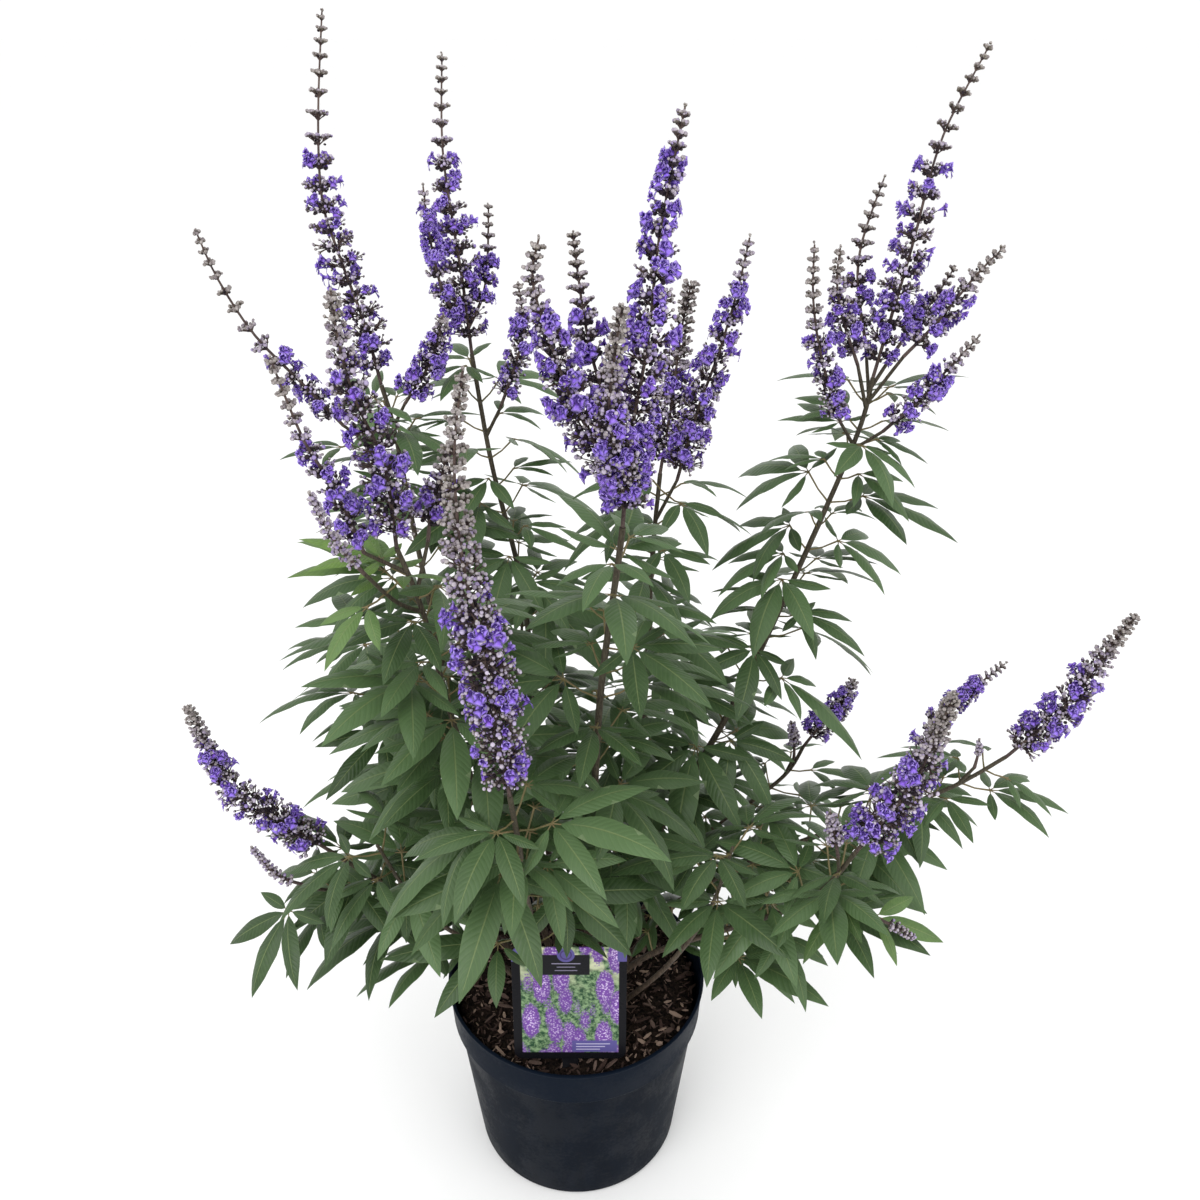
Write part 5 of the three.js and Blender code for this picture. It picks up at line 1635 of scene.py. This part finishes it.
# How the thin wall gives way towards the rim: [depth, waves round it, start]
SAGS = [[0.0022, 2, 0.7], [0.0011, 5, 0], [0.0006, 13, 2]]


def inside(z):
    """Inner radius of the pot's body at a height."""
    return lerp(POT["foot"], POT["shoulder"], z / STEP) - POT["wall"]


def make_pot():
    """Pot: tapered body with a wider rim band, smooth moulded corners and drain holes."""
    sizes = bpy.context.scene.chaste_tree_pot
    foot, lip, rim, height, wall = [POT[k] for k in ("foot", "lip", "rim", "height", "wall")]
    outline = [
        (0, 0), (foot - 3, 0), (foot, 4),
        (POT["shoulder"] - 0.4, STEP - 1.5), (lip, STEP + 1),
        (rim - 1.5, height - 4), (rim, height - 2.4), (rim, height - 0.4), (rim - 3.4, height),
        (lip - 2.6, STEP + 4), (inside(STEP - 3), STEP - 3),
        (inside(wall), wall), (0, wall),
    ]
    body = turned_mesh("pot", rounded(outline, sizes.corner * 1000), 112)
    for v in body.vertices:
        w = math.atan2(v.co.y, v.co.x)
        high = max(0, v.co.z / (height / 1000))
        give_way = 1 - high ** 3 * sum(deep * (1 + math.sin(n * w + start)) for deep, n, start in SAGS)
        v.co.x *= give_way
        v.co.y *= give_way
    cut = grown_from(body, drains_tree(), Holes=6, Ring=POT["drain_ring"] / 1000, Radius=POT["drain"] / 1000,
                     Finish=pot_finish())
    cut.set_sharp_from_angle(angle=math.radians(40))
    put_in("nursery_pot", [cut], "pot", "pot")


# Layers of bark chips: [part of the density, smallest, largest, tilt, lift]
CHIPS = {"bark_chips_fine": [0.9, 0.2, 0.75, 0.8, 0.0012], "bark_chips_coarse": [0.2, 0.5, 1.4, 0.6, 0.0032]}


def make_soil():
    """Soil: rough on top, full to the pot's inside, under two layers of bark chips."""
    sizes = bpy.context.scene.chaste_tree_soil
    room = SOIL["gap"] + 0.2
    low = POT["wall"] + SOIL["gap"]
    top = SOIL["top"] - 3
    outline = [(0, low), (inside(POT["wall"] + 2) - room, low), (inside(STEP - 8) - room, STEP - 8),
               (inside(STEP) - room, top - 4), *((r, top) for r in range(124, 0, -4)), (0, top)]
    body = turned_mesh("potting_mix", outline, 72)
    draw = Draws(5)
    for v in body.vertices:
        if v.co.z > (top - 1) / 1000:
            r = math.hypot(v.co.x, v.co.y)
            wave = 0.0022 * math.sin(v.co.x * 61 + 1) * math.cos(v.co.y * 53)
            v.co.z += wave + draw(-0.0012, 0.0012) + 0.002 * (r < 0.06)
    body.materials.append(soil_finish())
    chip = chip_object()
    put_in("potting_mix", [body], "soil", "soil")
    for k, (name, (share, small, large, tilt, lift)) in enumerate(CHIPS.items()):
        chips = grown_from(body.copy(), mulch_tree(), Chip=chip, Density=sizes.density * share,
                           Smallest=small, Largest=large, Tilt=tilt, Lift=lift, Seed=4 + k,
                           Finish=chip_finish())
        put_in(name, [chips], "soil")


def make_label():
    """Label: a thin printed card with round corners; its stake keeps the solid."""
    w, h, r = CARD["width"] / 2, CARD["height"] / 2, CARD["corner"]
    loop = []
    steps = 8       # round each corner
    for k, (x, z) in enumerate(((w - r, h - r), (r - w, h - r), (r - w, r - h), (w - r, r - h))):
        for i in range(steps + 1):
            a = math.radians(90 * k + 90 * i / steps)
            loop.append((x + r * math.cos(a), z + r * math.sin(a)))
    n = len(loop)
    half = CARD["thick"] / 2
    edge = 0.25     # rounding of the card's edge
    points = []
    for y, inset in ((-half, edge), (-half + edge, 0), (half - edge, 0), (half, edge)):
        points += [metres((x * (1 - inset / w), y, z * (1 - inset / h))) for x, z in loop]
    faces = [(n - 1, *range(n - 1)), (3 * n, *range(4 * n - 1, 3 * n, -1))]
    for p in (0, n, 2 * n):
        q = p + n
        faces += [(p + i, q + i, q + (i + 1) % n, p + (i + 1) % n) for i in range(n)]
    mesh = mesh_of("label_card", points, faces)
    mesh.materials.append(print_finish())
    mesh.materials.append(card_back_finish())
    layer = mesh.uv_layers.new(name="UVMap")
    for face in mesh.polygons:
        face.material_index = int(face.normal.y >= 0.5)
        for corner in face.loop_indices:
            x, _, z = mesh.vertices[mesh.loops[corner].vertex_index].co
            layer.uv[corner].vector = (x / CARD["width"] * 1000 + 0.5, z / CARD["height"] * 1000 + 0.5)
    mesh.set_sharp_from_angle(angle=math.radians(30))
    lean = Matrix.Rotation(-math.radians(CARD["lean"]), 4, "X")
    mesh.transform(Matrix.Translation(metres(CARD["middle"])) @ lean)
    put_in("printed_card", [mesh], "label_print", "label_card")
    stake = frame["nodes"]["label_stake"].data.materials
    stake.clear()
    stake.append(stake_finish())


# Stage
# Soft lights: [place, what it aims at, size, part of the key light's power]
LIGHTS = {
    "key_light": [(-1.6, -2.4, 3.2), (0, 0, 0.6), 2.4, 1],
    "fill_light": [(2.4, -1.6, 2.2), (0, 0, 0.5), 2.6, 0.45],
}
FLOOR = 40      # half of the floor's side in metres


def make_stage():
    """Camera, soft light and a plain pale floor."""
    scene = bpy.context.scene
    sizes = scene.chaste_tree_stage
    lens = bpy.data.cameras.new("camera")
    lens.lens = sizes.lens
    lens.sensor_width = 36
    camera = bpy.data.objects.new("camera", lens)
    camera.location = sizes.camera_place
    camera.rotation_euler = (math.radians(90) - sizes.camera_pitch, 0, 0)
    scene.collection.objects.link(camera)
    scene.camera = camera
    corners = [(-FLOOR, -FLOOR, 0), (FLOOR, -FLOOR, 0), (FLOOR, FLOOR, 0), (-FLOOR, FLOOR, 0)]
    mesh = mesh_of("floor", corners, [(0, 1, 2, 3)], even=False)
    net = Finish("floor_paper", 0.9)
    tone = sizes.floor_colour
    mesh.materials.append(net.painted(net.blend(net.mottle(2.0, 40.0), tone, shade(tone, 0.99))))
    floor = bpy.data.objects.new("floor", mesh)
    scene.collection.objects.link(floor)
    scene.world = bpy.data.worlds.new("studio")
    scene.world.use_nodes = True
    sky = scene.world.node_tree.nodes["Background"]
    sky.inputs["Color"].default_value = (1, 1, 1, 1)
    sky.inputs["Strength"].default_value = sizes.sky_strength
    for name, (place, aim, size, share) in LIGHTS.items():
        lamp = bpy.data.lights.new(name, "AREA")
        lamp.size = size
        lamp.energy = sizes.key_power * share
        light = bpy.data.objects.new(name, lamp)
        light.location = place
        light.rotation_euler = (Vector(aim) - Vector(place)).to_track_quat("-Z", "Y").to_euler()
        scene.collection.objects.link(light)
    scene.view_settings.view_transform = "Standard"
    scene.view_settings.look = "None"


# Add-on
def number(name, description, default, low, high, **more):
    return bpy.props.FloatProperty(name=name, description=description, default=default, min=low, max=high,
                                   **more)


def paint(name, description, default):
    return bpy.props.FloatVectorProperty(name=name, description=description, default=default, min=0, max=1,
                                         size=3, subtype="COLOR")


class LeafSizes(bpy.types.PropertyGroup):
    """Leaves"""
    roof: number("Roof", "How far a leaflet's margins hang below its midrib, as a part of its length",
                 0.03, 0, 0.2, subtype="FACTOR")
    wave: number("Wave", "How far a leaflet's margins wave, as a part of its length",
                 0.009, 0, 0.1, subtype="FACTOR")
    top_deep: paint("Deep green", "Darker colour of a leaf's upper side", (0.021, 0.047, 0.012))
    top_light: paint("Light green", "Lighter colour of a leaf's upper side", (0.088, 0.153, 0.06))
    under_deep: paint("Deep underside", "Darker colour of a leaf's underside", (0.095, 0.145, 0.06))
    under_light: paint("Light underside", "Lighter colour of a leaf's underside", (0.15, 0.21, 0.105))
    young_deep: paint("Deep young green", "Darker colour of young leaves", (0.09, 0.18, 0.025))
    young_light: paint("Light young green", "Lighter colour of young leaves", (0.17, 0.29, 0.05))
    vein: paint("Vein", "Colour of side veins and margins", (0.13, 0.2, 0.075))
    rib: paint("Midrib", "Colour of midribs", (0.17, 0.22, 0.085))


class FlowerSizes(bpy.types.PropertyGroup):
    """Flowers"""
    flower_size: number("Flower size", "Scale of the open flowers", 1.0, 0.5, 2)
    bud_size: number("Bud size", "Scale of the buds", 1.0, 0.5, 2)
    petal: paint("Petal", "Violet of the petals", (0.2, 0.078, 0.58))
    petal_blue: paint("Blue petal", "Bluer petals", (0.24, 0.13, 0.72))
    # Pale patches on the petals, and the painted highlight on their rims
    petal_pale_and_highlight: paint("Petal rim", "Paler rim of the petals", (0.54, 0.42, 0.93))
    # Painted shade deep in a flower's throat
    throat: paint("Throat", "Dark throat of a flower", (0.04, 0.012, 0.15))
    bud_pale: paint("Pale bud", "Colour of ripe buds", (0.54, 0.48, 0.59))
    bud_violet: paint("Violet bud", "Colour of buds about to open", (0.27, 0.18, 0.56))


class PotSizes(bpy.types.PropertyGroup):
    """Pot"""
    corner: number("Corner", "Rounding of the pot's moulded corners", 0.0011, 0, 0.01, unit="LENGTH")
    plastic: paint("Plastic", "Colour of the pot", (0.0019, 0.0038, 0.0078))


class SoilSizes(bpy.types.PropertyGroup):
    """Soil"""
    density: number("Chip density", "Bark chips for each square metre", 26000, 0, 100000)
    bark_dark: paint("Dark bark", "Colour of weathered chips", (0.014, 0.01, 0.009))
    bark_red: paint("Red bark", "Redder colour of weathered chips", (0.095, 0.056, 0.046))
    bark_tan: paint("Tan bark", "Colour of freshly broken chips", (0.44, 0.31, 0.245))


class LabelSizes(bpy.types.PropertyGroup):
    """Label"""
    frame_colour: paint("Frame", "Colour around the picture", (0.007, 0.007, 0.009))
    accent: paint("Accent", "Colour of the corners and panels", (0.1, 0.085, 0.26))


class StageSizes(bpy.types.PropertyGroup):
    """Stage"""
    lens: number("Lens", "Focal length of the camera in millimetres", 33, 10, 200)
    camera_place: bpy.props.FloatVectorProperty(
        name="Camera place", description="Where the camera stands", default=(0.026, -0.865, 1.16), size=3,
        unit="LENGTH")
    camera_pitch: number("Camera pitch", "How far the camera looks down", math.radians(28.67), 0, 1.6,
                         subtype="ANGLE")
    floor_colour: paint("Floor", "Colour of the floor", (0.96, 0.96, 0.96))
    sky_strength: number("Sky strength", "Brightness of the white surroundings", 1.05, 0, 10)
    key_power: number("Key light", "Power of the key light in watts", 60, 0, 2000)


class CHASTE_OT_stage(bpy.types.Operator):
    """Make the camera, the lights and the floor"""
    bl_idname = "chaste_tree.stage"
    bl_label = "Stage"

    def execute(self, context):
        make_stage()
        return {"FINISHED"}


class CHASTE_OT_pot(bpy.types.Operator):
    """Make the nursery pot"""
    bl_idname = "chaste_tree.pot"
    bl_label = "Pot"

    def execute(self, context):
        make_pot()
        return {"FINISHED"}


class CHASTE_OT_soil(bpy.types.Operator):
    """Make the potting mix and its bark chips"""
    bl_idname = "chaste_tree.soil"
    bl_label = "Soil and bark chips"

    def execute(self, context):
        make_soil()
        return {"FINISHED"}


class CHASTE_OT_label(bpy.types.Operator):
    """Make the care label"""
    bl_idname = "chaste_tree.label"
    bl_label = "Label"

    def execute(self, context):
        make_label()
        return {"FINISHED"}


class CHASTE_OT_shoots(bpy.types.Operator):
    """Make every leafy shoot"""
    bl_idname = "chaste_tree.shoots"
    bl_label = "Leafy shoots"

    def execute(self, context):
        shoots, _ = grown_plant()
        blade = blade_object()
        for k, (name, shoot) in enumerate(SHOOTS.items()):
            make_shoot(name, shoot, shoots[name], blade, Draws(40 + k))
        return {"FINISHED"}


class CHASTE_OT_spikes(bpy.types.Operator):
    """Make every flower spike"""
    bl_idname = "chaste_tree.spikes"
    bl_label = "Flower spikes"

    def execute(self, context):
        _, spikes = grown_plant()
        small = {"flower": flower_object("flower", 1.0),
                 "half_flower": flower_object("half_open_flower", 0.72), "bud": bud_object()}
        for k, (name, axes) in enumerate(spikes.items()):
            make_spike(name, axes, small, Draws(300 + k))
        return {"FINISHED"}


class CHASTE_PT_panel(bpy.types.Panel):
    """Parts of the potted chaste tree"""
    bl_label = "Potted chaste tree"
    bl_idname = "CHASTE_PT_panel"
    bl_space_type = "VIEW_3D"
    bl_region_type = "UI"
    bl_category = "Chaste tree"

    def draw(self, context):
        layout = self.layout
        for operator in OPERATORS:
            layout.operator(operator.bl_idname)
        for key, group in SIZES.items():
            box = layout.box()
            box.label(text=group.__doc__)
            for name in group.__annotations__:
                box.prop(getattr(context.scene, key), name)


OPERATORS = (CHASTE_OT_stage, CHASTE_OT_pot, CHASTE_OT_soil, CHASTE_OT_label, CHASTE_OT_shoots,
             CHASTE_OT_spikes)
SIZES = {
    "chaste_tree_leaves": LeafSizes,
    "chaste_tree_flowers": FlowerSizes,
    "chaste_tree_pot": PotSizes,
    "chaste_tree_soil": SoilSizes,
    "chaste_tree_label": LabelSizes,
    "chaste_tree_stage": StageSizes,
}


def register():
    for kind in (*SIZES.values(), *OPERATORS, CHASTE_PT_panel):
        bpy.utils.register_class(kind)
    for key, group in SIZES.items():
        setattr(bpy.types.Scene, key, bpy.props.PointerProperty(type=group))


def unregister():
    for key in SIZES:
        delattr(bpy.types.Scene, key)
    for kind in (CHASTE_PT_panel, *reversed(OPERATORS), *reversed(SIZES.values())):
        bpy.utils.unregister_class(kind)


def main():
    register()
    bpy.ops.chaste_tree.stage()
    bpy.ops.chaste_tree.pot()
    bpy.ops.chaste_tree.soil()
    bpy.ops.chaste_tree.label()
    bpy.ops.chaste_tree.shoots()
    bpy.ops.chaste_tree.spikes()


if __name__ == "__main__":
    main()
